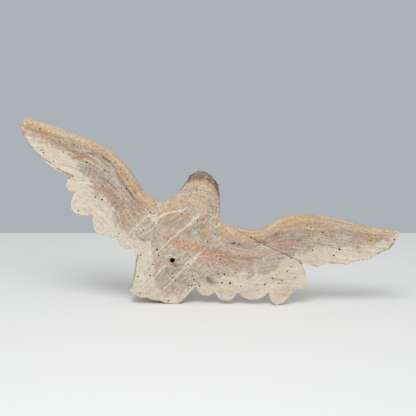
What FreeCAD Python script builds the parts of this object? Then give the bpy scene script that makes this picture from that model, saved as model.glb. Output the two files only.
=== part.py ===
"""A carved wooden eagle with spread wings, glued up from a few blocks that are pegged with dowels.

The eagle is drawn upright in its own frame: X runs along the wings, Y goes from the hollow back to the
carved front and Z goes up the body, with the origin in the middle of the back. At the end the whole bird
tips over to its right and is set down on the table, where it stands on a tail corner, one feather and a foot.
All lengths are in millimetres and all angles in degrees.
"""
import FreeCAD, Part
import math
import os

# Reach of the wings and height of the bird, from the middle of its back
LEFT_REACH = 317.0
RIGHT_REACH = 373.0
WING_RISE = 125.0
HEAD_RISE = 122.0
TAIL_DROP = 119.0

# The board that both wings are carved from
BOARD_NOSE = 13.0
BOARD_EDGE = 12.0
BOARD_HOLLOW = 9.0
BOARD_CROWN = 4.0
WING_SWEEP = 12.0
COVERT_RELIEF = 3.0

# The trunk with its neck, and the head with its beak
BREAST_WIDTH = 110.0
BREAST_DEPTH = 76.0
HEAD_OFFSET = 16.0
BEAK_WIDTH = 24.0
BEAK_HEIGHT = 33.0
BEAK_BEND = 19.0
BEAK_TIP = 1.5
JAW_RADIUS = 9.0
JAW_TIP = 2.5
JAW_REACH = 10.0

# The tail
TAIL_WIDTH = 117.0
TAIL_DEPTH = 34.0
TAIL_END_DEPTH = 26.0

# Legs and feet
LEG_SPACING = 56.0
LEG_FORWARD = 50.0
THIGH_RADIUS = 20.0
KNEE_RADIUS = 12.0
KNEE_DROP = 72.0
SHANK_RADIUS = 8.5
FOOT_HEIGHT = 12.0
TOE_RADIUS = 5.6
TOE_REACH = 21.0
CLAW_REACH = 11.0
CLAW_TIP = 1.2
TOE_SPREAD = 34.0

# Dowels, and the blind hole that the carving hangs by
WING_DOWEL_RADIUS = 4.5
WING_DOWEL_LENGTH = 46.0
HEAD_DOWEL_RADIUS = 6.0
HEAD_DOWEL_LENGTH = 44.0
FOOT_PEG_RADIUS = 3.5
FOOT_PEG_LENGTH = 30.0
DOWEL_PLAY = 0.1
DOWEL_END_PLAY = 0.5
HANG_HOLE_RADIUS = 4.75
HANG_HOLE_DEPTH = 28.0
HANG_HOLE_DROP = 42.0

# How far the table has worn into the tail corner, the feather and the sole
TAIL_WEAR = 1.6
FEATHER_WEAR = 0.8
SOLE_WEAR = 1.2

# One overrun for every cutting tool
OVERRUN = 40.0

# How finely the forms are whittled: stations along each of them, and flat knife cuts around it
BOARD_STATIONS = 44
BOARD_NOSE_CUTS = 7
BOARD_FRONT_CUTS = 4
BOARD_BACK_CUTS = 6
TRUNK_STATIONS = 20
TRUNK_BACK_CUTS = 7
TRUNK_FRONT_CUTS = 15
BEAK_STATIONS = 9
BEAK_CUTS = 12
THIGH_STATIONS = 7
THIGH_CUTS = 16
LIMB_CUTS = 8

# Places along the wings are shares of the reach on their own side, and heights are shares of the wing's rise.
BOARD_TOP_SHARES = [
    (-1.06, 0.985), (-0.982, 0.98), (-0.815, 0.971), (-0.60, 0.951), (-0.535, 0.926), (-0.43, 0.814),
    (-0.354, 0.695), (-0.292, 0.566), (-0.249, 0.468), (-0.188, 0.418), (0.0, 0.385), (0.14, 0.43),
    (0.183, 0.43), (0.228, 0.38), (0.286, 0.398), (0.336, 0.42), (0.371, 0.466), (0.403, 0.592),
    (0.435, 0.716), (0.489, 0.822), (0.559, 0.899), (0.646, 0.952), (0.743, 0.98), (0.85, 1.0),
    (0.948, 1.045), (1.04, 1.085),
]
BOARD_BOTTOM_SHARES = [
    (-1.06, 0.50), (-0.92, 0.46), (-0.79, 0.28), (-0.68, 0.08), (-0.54, -0.18), (-0.38, -0.38),
    (-0.19, -0.54), (0.0, -0.64), (0.16, -0.74), (0.32, -0.80), (0.46, -0.70), (0.58, -0.60),
    (0.66, -0.30), (0.72, 0.06), (0.80, 0.22), (0.91, 0.44), (1.04, 0.72),
]
BOARD_NOSE_SHARES = [(-1.06, 0.58), (-0.60, 0.92), (-0.20, 1.0), (0.50, 1.0), (0.80, 0.80), (1.04, 0.55)]
BOARD_HOLLOW_SHARES = [
    (-1.06, 0.15), (-0.60, 1.0), (-0.36, 0.75), (-0.20, 0.0), (0.18, 0.0), (0.34, 0.5), (0.58, 1.0),
    (1.04, 0.15),
]
BOARD_SWEEP_SHARES = [
    (-1.06, -0.3), (-0.60, -0.3), (-0.18, 0.0), (0.20, 0.0), (0.58, -1.0), (0.80, -0.8), (1.04, -0.6),
]
TRUNK_CROWDING = 1.6
CROWN_PLACE_SHARE = 0.45
HOLLOW_PLACE_SHARE = 0.42
COVERT_SEAT_SHARE = 0.75
COVERT_CHEEK_TURN = 45.0

# The cut outline of the wings, from the left tip round the lower feathers to the right tip. Each row is an
# arc round a feather's end: its bulge as a share of its own width, and the notch or turn where it stops.
LEFT_TIP_SHARES = (-0.968, 1.0)
LEFT_FEATHER_SHARES = [
    (0.26, (-0.975, 0.731)), (0.022, (-0.829, 0.475)), (0.06, (-0.657, 0.366)), (0.491, (-0.613, 0.18)),
    (0.13, (-0.6, -0.09)), (0.09, (-0.483, -0.07)), (0.09, (-0.447, -0.262)), (0.23, (-0.385, -0.255)),
    (0.25, (-0.316, -0.235)), (0.37, (-0.213, -0.325)),
]
RESTING_FEATHER_SHARES = (0.556, -0.492)
SEAM_NOTCH_SHARES = (0.599, 0.209)
RIGHT_FEATHER_SHARES = [
    (0.46, (0.255, -0.57)), (0.46, (0.357, -0.494)), (0.26, (0.5, -0.335)), (0.16, RESTING_FEATHER_SHARES),
    (0.14, (0.607, -0.145)), (0.36, (0.649, -0.108)), (0.15, (0.636, 0.09)), (0.03, SEAM_NOTCH_SHARES),
    (0.04, (0.687, 0.224)), (0.05, (0.692, 0.262)), (-0.03, (0.821, 0.394)), (0.05, (0.827, 0.43)),
    (-0.03, (0.906, 0.557)), (0.05, (0.914, 0.601)), (-0.02, (0.977, 0.784)), (0.08, (0.989, 0.96)),
    (0.2, (0.98, 1.09)),
]

# The tail's outline, as shares of half its width and of its drop
TAIL_ROOT_SHARES = (-1.10, -0.30)
TAIL_LEFT_SHARES = [(0.149, (-1, -0.475)), (0.014, (-0.83, -0.91)), (0.399, (-0.65, -1.042))]
TAIL_END_SHARES = [(0.125, (-0.3, -1.025)), (0.101, (0.1, -1.005)), (0.099, (0.46, -1))]
TAIL_CORNER_SHARES = (0.60, -0.995)
TAIL_RIGHT_SHARES = [(0.078, (0.87, -0.78)), (0.033, (1.035, -0.595))]
TAIL_DEPTH_SHARES = [(-0.20, 0.45), (-0.50, 1.0)]

# The two open glue seams across the board, and the tilted one across the neck
LEFT_SEAM_SHARES = ((-0.136, 0.444), (-0.303, -0.291))
RIGHT_SEAM_START_SHARES = (0.24, 0.372)
NECK_SEAM_SHARE = 0.785
NECK_SEAM_SIDE_TILT = 14.0
NECK_SEAM_FRONT_TILT = 32.0

# The trunk's rails: heights are shares of the head's rise. The values are shares of the head's offset for the
# middle, of the breast's width for the half width, and of the breast's depth for the back, side and front.
TRUNK_OFFSET_SHARES = [
    (-0.62, 0.0), (-0.20, 0.05), (0.04, 0.2), (0.29, 0.6), (0.45, 0.82), (0.62, 1.08), (0.80, 1.03),
    (0.91, 0.92), (1.0, 0.66),
]
TRUNK_HALF_SHARES = [
    (-0.62, 0.33), (-0.41, 0.42), (-0.20, 0.475), (0.04, 0.50), (0.29, 0.49), (0.45, 0.46), (0.53, 0.40),
    (0.62, 0.35), (0.80, 0.268), (0.848, 0.236), (0.91, 0.195), (0.95, 0.135), (0.985, 0.085), (1.0, 0.045),
]
TRUNK_BACK_SHARES = [
    (-0.62, 0.02), (-0.41, 0.0), (0.50, 0.0), (0.62, 0.01), (0.78, 0.045), (0.90, 0.12), (0.96, 0.21),
    (1.0, 0.36),
]
TRUNK_SIDE_SHARES = [
    (-0.62, 0.10), (-0.20, 0.10), (0.29, 0.13), (0.62, 0.21), (0.78, 0.27), (0.90, 0.33), (1.0, 0.44),
]
TRUNK_FRONT_SHARES = [
    (-0.62, 0.44), (-0.41, 0.66), (-0.20, 0.86), (0.04, 0.99), (0.25, 1.0), (0.45, 0.91), (0.62, 0.79),
    (0.78, 0.75), (0.88, 0.76), (0.96, 0.69), (1.0, 0.54),
]

# Rows of covert feathers on the front: how far down the wing each row ends, and where it starts and stops
COVERT_ROWS = [
    {"drop_share": 0.62, "relief_share": 1.0, "left_feathers": 7, "right_feathers": 8},
    {"drop_share": 0.34, "relief_share": 2.0, "left_feathers": 9, "right_feathers": 10},
]
COVERT_SPAN_SHARES = ((-0.955, -0.14), (0.24, 0.955))
COVERT_BULGE_SHARE = 0.28

# The spot on the head that the beak turns about, how far it turns down and how quickly it tapers
BEAK_PLACE_SHARE = 0.74
BEAK_RISE_SHARE = 0.615
BEAK_FIRST_TURN = 105.0
BEAK_LAST_TURN = -30.0
BEAK_TAPER = 0.9
JAW_DROP_SHARE = 0.35
JAW_ROOT_SHARE = 0.2

LEFT_DOWEL_SHARES = {"upper": 0.34, "lower": 0.72}
RIGHT_DOWEL_SHARES = {"inner": 0.50, "outer": 0.80}
HEAD_DOWEL_DEPTH_SHARE = 0.38
HANG_HOLE_OFFSET_SHARE = 0.31
THIGH_RISE_SHARE = 0.0
THIGH_BULGE_SHARE = 0.35
TOE_ROOT_SHARE = 0.75
MIDDLE_TOE_SHARE = 1.12
HIND_TOE_SHARE = 0.7
CLAW_ROOT_SHARE = 0.62


def at(x, y, z):
    return FreeCAD.Vector(x, y, z)


def rail(shares):
    """A smooth curve through (place, value) pairs that never swings past them."""
    places = [place for place, value in shares]
    values = [value for place, value in shares]
    steps = [(values[i + 1] - values[i]) / (places[i + 1] - places[i]) for i in range(len(places) - 1)]
    slopes = [steps[0]]
    for before, after in zip(steps, steps[1:]):
        slopes.append(0.0 if before * after <= 0 else 2 * before * after / (before + after))
    slopes.append(steps[-1])

    def value_at(place):
        place = min(max(place, places[0]), places[-1])
        i = max(k for k in range(len(places) - 1) if places[k] <= place)
        width = places[i + 1] - places[i]
        t = (place - places[i]) / width
        return ((1 + 2 * t) * (1 - t) ** 2 * values[i] + t * (1 - t) ** 2 * width * slopes[i]
                + t * t * (3 - 2 * t) * values[i + 1] - t * t * (1 - t) * width * slopes[i + 1])
    return value_at


BOARD_TOP = rail(BOARD_TOP_SHARES)
BOARD_BOTTOM = rail(BOARD_BOTTOM_SHARES)
BOARD_NOSE_RADIUS = rail(BOARD_NOSE_SHARES)
BOARD_HOLLOW_DEPTH = rail(BOARD_HOLLOW_SHARES)
BOARD_SWEEP = rail(BOARD_SWEEP_SHARES)
TRUNK_OFFSET = rail(TRUNK_OFFSET_SHARES)
TRUNK_HALF = rail(TRUNK_HALF_SHARES)
TRUNK_BACK = rail(TRUNK_BACK_SHARES)
TRUNK_SIDE = rail(TRUNK_SIDE_SHARES)
TRUNK_FRONT = rail(TRUNK_FRONT_SHARES)


# Small drawing helpers

def line(start, end):
    return Part.LineSegment(start, end).toShape()


def polygon(points):
    return [line(a, b) for a, b in zip(points, points[1:] + points[:1])]


def arcs(start, rows, place):
    """A chain of arcs round feather ends, which bulge to the right of their way, and the point it ends at."""
    chain = []
    for bulge_share, spot in rows:
        end = place(spot)
        through = (start + end) * 0.5 + at(end.z - start.z, 0, start.x - end.x) * bulge_share
        chain.append(Part.Arc(start, through, end).toShape())
        start = end
    return chain, start


def prism(edges):
    """A cutting tool with this outline, which runs right through the carving from back to front."""
    reach = BREAST_DEPTH + WING_SWEEP + BEAK_BEND + 2 * OVERRUN
    face = Part.Face(Part.Wire(edges))
    face.translate(at(0, -(WING_SWEEP + OVERRUN), 0))
    return face.extrude(at(0, reach, 0))


def rod(centre, direction, radius, length):
    """A cylinder whose middle is at the given point."""
    axis = direction / direction.Length
    return Part.makeCylinder(radius, length, centre - axis * (length / 2), axis)


def flat(points):
    return Part.Face(Part.Wire(polygon(points)))


def whittled(rings):
    """A solid whittled in flat cuts from ring to ring. All rings have as many points as each other."""
    faces = [flat(rings[0]), flat(rings[-1])]
    for near, far in zip(rings, rings[1:]):
        for i in range(len(near)):
            faces.append(flat([near[i - 1], near[i], far[i]]))
            faces.append(flat([near[i - 1], far[i], far[i - 1]]))
    return Part.makeSolid(Part.makeShell(faces)).removeSplitter()


def cuts_between(edge, cuts):
    """The points where flat cuts along an edge start."""
    return edge.discretize(cuts + 1)[:-1]


def ring(centre, wide, tall, cuts):
    """A ring of flat cuts: wide and tall are the half axes that it spans."""
    turns = [2 * math.pi * (i + 0.5) / cuts for i in range(cuts)]
    return [centre + wide * math.cos(turn) + tall * math.sin(turn) for turn in turns]


def limb(points, radii, wide, tall):
    """A limb along the points, with its own radius at each. Its rings all lie along wide and tall."""
    rings = [ring(point, wide * radius, tall * radius, LIMB_CUTS) for point, radius in zip(points, radii)]
    return whittled(rings)


# The wing board

def along(share):
    """The place along the wings for a share of the reach on its own side."""
    return share * (RIGHT_REACH if share > 0 else LEFT_REACH)


def share_along(x):
    return x / (RIGHT_REACH if x > 0 else LEFT_REACH)


def board_spot(shares):
    """A point of the board's outline, in the plane of the back."""
    return at(along(shares[0]), 0, shares[1] * WING_RISE)


def board_sizes(share):
    """Top, bottom, nose radius, hollow and sweep of the board at one place."""
    top, bottom = BOARD_TOP(share) * WING_RISE, BOARD_BOTTOM(share) * WING_RISE
    nose, hollow = BOARD_NOSE_RADIUS(share) * BOARD_NOSE, BOARD_HOLLOW_DEPTH(share) * BOARD_HOLLOW
    return top, bottom, nose, hollow, BOARD_SWEEP(share) * WING_SWEEP


def board_section(share):
    """One cut through the board: round leading edge, crowned front, thin trailing edge and hollow back."""
    x = along(share)
    top, bottom, nose, hollow, sweep = board_sizes(share)
    back_nose = at(x, sweep, top - nose)
    tip_nose = at(x, sweep + nose, top)
    front_nose = at(x, sweep + 2 * nose, top - nose)
    front_edge = at(x, sweep + BOARD_EDGE, bottom)
    back_edge = at(x, sweep, bottom)
    crown = front_nose + (front_edge - front_nose) * CROWN_PLACE_SHARE + at(0, BOARD_CROWN, 0)
    gouge = back_nose + (back_edge - back_nose) * HOLLOW_PLACE_SHARE + at(0, hollow, 0)
    back = line(back_edge, back_nose) if hollow == 0 else Part.Arc(back_edge, gouge, back_nose).toShape()
    points = cuts_between(Part.Arc(back_nose, tip_nose, front_nose).toShape(), BOARD_NOSE_CUTS)
    points += cuts_between(Part.Arc(front_nose, crown, front_edge).toShape(), BOARD_FRONT_CUTS)
    return points + [front_edge] + cuts_between(back, BOARD_BACK_CUTS)


def covert_section(share, relief):
    """One cut through a row of coverts, which lies on the board's front and is seated inside it."""
    x = along(share)
    top, bottom, nose, hollow, sweep = board_sizes(share)
    turn = math.radians(COVERT_CHEEK_TURN)
    crest = at(x, sweep + nose, top)
    cheek = at(x, sweep + nose + (nose + relief) * math.sin(turn), top - nose + nose * math.cos(turn))
    front_nose = at(x, sweep + 2 * nose + relief, top - nose)
    front_edge = at(x, sweep + BOARD_EDGE + relief, bottom)
    crown = front_nose + (front_edge - front_nose) * CROWN_PLACE_SHARE + at(0, BOARD_CROWN, 0)
    seat = at(x, sweep + BOARD_EDGE * COVERT_SEAT_SHARE, bottom)
    points = cuts_between(Part.Arc(crest, cheek, front_nose).toShape(), BOARD_FRONT_CUTS)
    points += cuts_between(Part.Arc(front_nose, crown, front_edge).toShape(), BOARD_FRONT_CUTS)
    return points + [front_edge, seat]


def board_stations():
    """Evenly spaced places from just beyond the left tip to just beyond the right tip."""
    first = along(BOARD_TOP_SHARES[0][0])
    last = along(BOARD_TOP_SHARES[-1][0])
    return [share_along(first + (last - first) * i / (BOARD_STATIONS - 1)) for i in range(BOARD_STATIONS)]


def covert_row(row, span, feathers):
    """One row of coverts on the front of one wing, ending in a scalloped edge."""
    first, last = span
    relief = row["relief_share"] * COVERT_RELIEF
    stations = [share for share in board_stations() if share * first > 0]
    blank = whittled([covert_section(share, relief) for share in stations])

    def lower_edge(share):
        top, bottom = BOARD_TOP(share), BOARD_BOTTOM(share)
        return at(along(share), 0, (top + (bottom - top) * row["drop_share"]) * WING_RISE)

    step = (last - first) / feathers
    start = lower_edge(first)
    rows = [(COVERT_BULGE_SHARE, first + step * (i + 1)) for i in range(feathers)]
    edge, end = arcs(start, rows, lower_edge)
    return blank.common(prism(edge + over_the_top(end, start)))


def over_the_top(end, start):
    """Three straight edges from the end back to the start, which pass above the wings."""
    high = WING_RISE + OVERRUN
    above_end, above_start = at(end.x, 0, high), at(start.x, 0, high)
    return [line(end, above_end), line(above_end, above_start), line(above_start, start)]


def wing_outline():
    """The wings' outline with its feather ends, open at the top where the leading edge is already round."""
    start = board_spot(LEFT_TIP_SHARES)
    belly = tail_spot(TAIL_RIGHT_SHARES[-1][1])
    left, left_end = arcs(start, LEFT_FEATHER_SHARES, board_spot)
    right, tip = arcs(belly, RIGHT_FEATHER_SHARES, board_spot)
    return prism(left + [line(left_end, belly)] + right + over_the_top(tip, start))


def wing_board():
    """Both wings in one: the board with its rows of coverts, cut to the outline of the feathers."""
    board = whittled([board_section(share) for share in board_stations()])
    left_span, right_span = COVERT_SPAN_SHARES
    coverts = []
    for row in COVERT_ROWS:
        coverts.append(covert_row(row, left_span, row["left_feathers"]))
        coverts.append(covert_row(row, right_span, row["right_feathers"]))
    return board.fuse(coverts).common(wing_outline())


# The trunk, the thighs and the tail

def trunk_section(share):
    """One level cut through the trunk: a flat back and a full front."""
    z = share * HEAD_RISE
    middle = TRUNK_OFFSET(share) * HEAD_OFFSET
    half = TRUNK_HALF(share) * BREAST_WIDTH
    back, side, front = (curve(share) * BREAST_DEPTH for curve in (TRUNK_BACK, TRUNK_SIDE, TRUNK_FRONT))
    left, right = at(middle - half, side, z), at(middle + half, side, z)
    back_arc = Part.Arc(left, at(middle, back, z), right).toShape()
    front_arc = Part.Arc(right, at(middle, front, z), left).toShape()
    return cuts_between(back_arc, TRUNK_BACK_CUTS) + cuts_between(front_arc, TRUNK_FRONT_CUTS)


def trunk():
    """Breast, belly, neck and crown as one swelling form, with its levels closer together over the crown."""
    low, high = TRUNK_HALF_SHARES[0][0], TRUNK_HALF_SHARES[-1][0]
    steps = [1 - (1 - i / (TRUNK_STATIONS - 1)) ** TRUNK_CROWDING for i in range(TRUNK_STATIONS)]
    return whittled([trunk_section(low + (high - low) * step) for step in steps])


def knee(side):
    return at(side * LEG_SPACING / 2, LEG_FORWARD, -KNEE_DROP)


def thigh(side):
    """A feathered thigh that grows out of the belly and ends in a flat seat for the leg."""
    hip = at(side * LEG_SPACING / 2, LEG_FORWARD - THIGH_RADIUS, THIGH_RISE_SHARE * HEAD_RISE)
    rings = []
    for i in range(THIGH_STATIONS):
        t = i / (THIGH_STATIONS - 1)
        centre = hip + (knee(side) - hip) * t
        swell = THIGH_BULGE_SHARE * THIGH_RADIUS * math.sin(math.pi * t)
        radius = THIGH_RADIUS + (KNEE_RADIUS - THIGH_RADIUS) * t * t
        rings.append(ring(centre + at(0, swell, 0), at(radius, 0, 0), at(0, radius, 0), THIGH_CUTS))
    return whittled(rings)


def tail_spot(shares):
    return at(shares[0] * TAIL_WIDTH / 2, 0, shares[1] * TAIL_DROP)


def tail():
    """A thick fan with scalloped feather ends, crowned on its front, that thickens out of the board."""
    start = tail_spot(TAIL_ROOT_SHARES)
    left, left_end = arcs(start, TAIL_LEFT_SHARES, tail_spot)
    end, end_end = arcs(left_end, TAIL_END_SHARES, tail_spot)
    corner = tail_spot(TAIL_CORNER_SHARES)
    right, right_end = arcs(corner, TAIL_RIGHT_SHARES, tail_spot)
    shoulder = at(right_end.x, 0, start.z)
    outline = left + end + [line(end_end, corner)] + right
    outline += [line(right_end, shoulder), line(shoulder, start)]
    crown = TAIL_DEPTH - TAIL_END_DEPTH
    levels = [(TAIL_DEPTH_SHARES[0], TAIL_DEPTH), (TAIL_DEPTH_SHARES[1], TAIL_DEPTH)]
    rings = [(place * TAIL_DROP, depth * share) for (place, share), depth in levels]
    rings.append((-(TAIL_DROP + OVERRUN), TAIL_END_DEPTH))

    def level(z, depth):
        a, b = at(-TAIL_WIDTH, 0, z), at(TAIL_WIDTH, 0, z)
        c, d = at(TAIL_WIDTH, depth - crown, z), at(-TAIL_WIDTH, depth - crown, z)
        return Part.Wire([line(a, b), line(b, c), Part.Arc(c, at(0, depth, z), d).toShape(), line(d, a)])

    return Part.makeLoft([level(z, depth) for z, depth in rings], True, True).common(prism(outline))


# The beak

def beak():
    """A hooked upper beak, whose rings shrink as they turn down round one arc, over a short lower jaw."""
    middle = at(HEAD_OFFSET, BEAK_PLACE_SHARE * BREAST_DEPTH, BEAK_RISE_SHARE * HEAD_RISE)
    rings = []
    for i in range(BEAK_STATIONS):
        t = i / (BEAK_STATIONS - 1)
        turn = math.radians(BEAK_FIRST_TURN + (BEAK_LAST_TURN - BEAK_FIRST_TURN) * t)
        spoke = at(0, math.cos(turn), math.sin(turn))
        half = BEAK_TIP + (BEAK_HEIGHT / 2 - BEAK_TIP) * (1 - t) ** BEAK_TAPER
        wide = at(half * BEAK_WIDTH / BEAK_HEIGHT, 0, 0)
        rings.append(ring(middle + spoke * BEAK_BEND, wide, spoke * half, BEAK_CUTS))
    jaw_root = middle - at(0, BREAST_DEPTH * JAW_ROOT_SHARE, JAW_RADIUS * JAW_DROP_SHARE)
    jaw_tip = middle + at(0, JAW_REACH, -JAW_RADIUS * JAW_DROP_SHARE)
    jaw = limb([jaw_root, jaw_tip], [JAW_RADIUS, JAW_TIP], at(1, 0, 0), at(0, 0, 1))
    return whittled(rings).fuse(jaw)


# The table under the bird, and the feet that are made to reach it

def table_height(x):
    """How high the table lies: it has worn a flat on the tail's corner and one on the resting feather."""
    corner = tail_spot(TAIL_CORNER_SHARES) + at(0, 0, TAIL_WEAR)
    feather = board_spot(RESTING_FEATHER_SHARES) + at(0, 0, FEATHER_WEAR)
    return corner.z + (feather.z - corner.z) * (x - corner.x) / (feather.x - corner.x)


def table():
    """Everything below the table's top, as a cutting tool."""
    left, right = -(LEFT_REACH + OVERRUN), RIGHT_REACH + OVERRUN
    low = table_height(left) - OVERRUN
    return prism(polygon([at(left, 0, table_height(left)), at(left, 0, low), at(right, 0, low),
                          at(right, 0, table_height(right))]))


def foot(side):
    """A leg with four clawed toes. Both are as long as the right one, whose sole stands on the table."""
    top = knee(side)
    sole = table_height(LEG_SPACING / 2) - SOLE_WEAR
    ankle = at(top.x, top.y, sole + FOOT_HEIGHT)
    toe_root = at(top.x, top.y, sole + TOE_RADIUS)
    shank_radii = [KNEE_RADIUS, SHANK_RADIUS, SHANK_RADIUS]
    limbs = [limb([top, ankle, toe_root], shank_radii, at(1, 0, 0), at(0, 1, 0))]
    toes = [(-TOE_SPREAD, 1.0), (0.0, MIDDLE_TOE_SHARE), (TOE_SPREAD, 1.0), (180.0, HIND_TOE_SHARE)]
    for turn, reach in toes:
        ahead = at(math.sin(math.radians(turn)), math.cos(math.radians(turn)), 0)
        knuckle = toe_root + ahead * (TOE_REACH * reach)
        claw = knuckle + ahead * (CLAW_REACH / 2)
        tip = knuckle + ahead * CLAW_REACH + at(0, 0, CLAW_TIP - TOE_RADIUS)
        toe_radii = [SHANK_RADIUS * TOE_ROOT_SHARE, TOE_RADIUS, TOE_RADIUS * CLAW_ROOT_SHARE, CLAW_TIP]
        start = toe_root + at(0, 0, TOE_RADIUS / 2)
        limbs.append(limb([start, knuckle, claw, tip], toe_radii, at(ahead.y, -ahead.x, 0), at(0, 0, 1)))
    return limbs[0].fuse(limbs[1:])


# The glue seams, and the dowels across them

def left_seam():
    """Everything left of the left seam."""
    top, bottom = (board_spot(spot) for spot in LEFT_SEAM_SHARES)
    run = (bottom - top) / (bottom.z - top.z)
    high, low = WING_RISE + OVERRUN, -(TAIL_DROP + OVERRUN)
    far = -(LEFT_REACH + OVERRUN)
    seam_top, seam_bottom = top + run * (high - top.z), top + run * (low - top.z)
    return prism(polygon([seam_top, seam_bottom, at(far, 0, low), at(far, 0, high)]))


def right_seam():
    """Everything above the right seam."""
    start, notch = board_spot(RIGHT_SEAM_START_SHARES), board_spot(SEAM_NOTCH_SHARES)
    run = (notch - start) / (notch.x - start.x)
    high, far = WING_RISE + OVERRUN, RIGHT_REACH + OVERRUN
    return prism(polygon([start, start + run * (far - start.x), at(far, 0, high), at(start.x, 0, high)]))


def neck_seam():
    """Everything above the seam across the neck, which falls towards the front and to the left."""
    size = LEFT_REACH
    block = Part.makeBox(2 * size, 2 * size, size, at(-size, -size, 0))
    block.rotate(at(0, 0, 0), at(1, 0, 0), -NECK_SEAM_FRONT_TILT)
    block.rotate(at(0, 0, 0), at(0, 1, 0), -NECK_SEAM_SIDE_TILT)
    block.translate(at(HEAD_OFFSET, 0, NECK_SEAM_SHARE * HEAD_RISE))
    return block


def board_middle(x, z):
    """Halfway between the back and the front of the board."""
    top, bottom, nose, hollow, sweep = board_sizes(share_along(x))
    t = (top - nose - z) / (top - nose - bottom)
    front = 2 * nose + (BOARD_EDGE - 2 * nose) * t
    return sweep + (front + hollow) / 2


def seam_dowel(start, end, share):
    """The middle and direction of a dowel that crosses a seam square, at a share of the seam's length."""
    middle = start + (end - start) * share
    return at(middle.x, board_middle(middle.x, middle.z), middle.z), at(start.z - end.z, 0, end.x - start.x)


def dowels():
    """Name, middle, direction, radius and length of every dowel."""
    left = [board_spot(spot) for spot in LEFT_SEAM_SHARES]
    right = [board_spot(RIGHT_SEAM_START_SHARES), board_spot(SEAM_NOTCH_SHARES)]
    found = []
    sizes = (WING_DOWEL_RADIUS, WING_DOWEL_LENGTH)
    for name, share in LEFT_DOWEL_SHARES.items():
        found.append(("left_wing_%s_dowel" % name,) + seam_dowel(*left, share) + sizes)
    for name, share in RIGHT_DOWEL_SHARES.items():
        found.append(("right_wing_%s_dowel" % name,) + seam_dowel(*right, share) + sizes)
    neck = at(HEAD_OFFSET, HEAD_DOWEL_DEPTH_SHARE * BREAST_DEPTH, NECK_SEAM_SHARE * HEAD_RISE)
    neck.z -= HEAD_DOWEL_DEPTH_SHARE * BREAST_DEPTH * math.tan(math.radians(NECK_SEAM_FRONT_TILT))
    found.append(("head_dowel", neck, at(0, 0, 1), HEAD_DOWEL_RADIUS, HEAD_DOWEL_LENGTH))
    for name, side in (("left_foot_peg", -1), ("right_foot_peg", 1)):
        found.append((name, knee(side), at(0, 0, 1), FOOT_PEG_RADIUS, FOOT_PEG_LENGTH))
    return found


def hang_hole():
    """The blind hole in the back that the carving hangs by."""
    mouth = at(HANG_HOLE_OFFSET_SHARE * HEAD_OFFSET, 0, -HANG_HOLE_DROP)
    outside = mouth - at(0, OVERRUN, 0)
    return Part.makeCylinder(HANG_HOLE_RADIUS, HANG_HOLE_DEPTH + OVERRUN, outside, at(0, 1, 0))


# The whole bird

def one_solid(shape):
    """The shape's only solid."""
    if len(shape.Solids) != 1:
        raise ValueError("expected one solid, found %d" % len(shape.Solids))
    return shape.Solids[0]


def upright_bird():
    """Every piece by name, in the bird's own frame."""
    board = wing_board()
    left, right, neck = left_seam(), right_seam(), neck_seam()
    trunk_block = trunk()
    body = board.cut([left, right]).fuse([trunk_block.cut(neck), tail(), thigh(-1), thigh(1)])
    pieces = {
        "body_block": body.cut(hang_hole()),
        "left_wing": board.common(left),
        "right_wing": board.common(right),
        "head": trunk_block.fuse(beak()).common(neck),
        "left_foot": foot(-1),
        "right_foot": foot(1),
    }
    pegs = dowels()
    holes = [rod(middle, direction, radius + DOWEL_PLAY, length + 2 * DOWEL_END_PLAY)
             for name, middle, direction, radius, length in pegs]
    ground = table()
    pieces = {name: one_solid(piece.cut(holes + [ground])) for name, piece in pieces.items()}
    for name, middle, direction, radius, length in pegs:
        pieces[name] = rod(middle, direction, radius, length)
    return pieces


def stand_on_table(pieces):
    """Tip the bird over until the table is level, with the middle of its box above the origin."""
    rise = table_height(RIGHT_REACH) - table_height(0)
    lean = math.degrees(math.atan2(rise, RIGHT_REACH))
    low = table_height(0) * math.cos(math.radians(lean))
    for piece in pieces.values():
        piece.rotate(at(0, 0, 0), at(0, 1, 0), lean)
    boxes = [piece.optimalBoundingBox(False, False) for piece in pieces.values()]
    x = (min(box.XMin for box in boxes) + max(box.XMax for box in boxes)) / 2
    y = (min(box.YMin for box in boxes) + max(box.YMax for box in boxes)) / 2
    for piece in pieces.values():
        piece.translate(at(-x, -y, -low))
    return pieces


if __name__ == "__main__":
    os.makedirs("parts", exist_ok=True)
    for name, piece in stand_on_table(upright_bird()).items():
        piece.exportStep("parts/%s.step" % name)
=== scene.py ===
import math

import bpy
import numpy as np
from bpy.props import FloatProperty, FloatVectorProperty, IntProperty, PointerProperty, StringProperty
from mathutils import Euler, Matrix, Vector


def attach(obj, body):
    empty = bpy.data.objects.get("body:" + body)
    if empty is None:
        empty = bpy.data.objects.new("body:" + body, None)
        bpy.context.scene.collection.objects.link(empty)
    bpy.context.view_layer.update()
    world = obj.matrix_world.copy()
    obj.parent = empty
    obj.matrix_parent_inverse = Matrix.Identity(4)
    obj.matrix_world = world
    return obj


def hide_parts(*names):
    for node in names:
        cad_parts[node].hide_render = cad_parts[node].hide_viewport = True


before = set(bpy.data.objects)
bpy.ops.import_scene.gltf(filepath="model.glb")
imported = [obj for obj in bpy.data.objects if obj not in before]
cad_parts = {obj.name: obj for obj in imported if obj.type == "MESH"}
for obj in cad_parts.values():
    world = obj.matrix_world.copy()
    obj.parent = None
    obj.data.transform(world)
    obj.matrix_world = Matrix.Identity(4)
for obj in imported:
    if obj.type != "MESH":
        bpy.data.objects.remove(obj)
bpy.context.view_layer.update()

bl_info = {
    "name": "Carved Eagle",
    "version": (1, 0, 0),
    "blender": (4, 5, 0),
    "location": "3D View > Sidebar > Carved Eagle",
    "description": "An old carved eagle with spread wings, seen from its hollow, worm-eaten back",
    "category": "Object",
}

MM = 0.001

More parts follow.
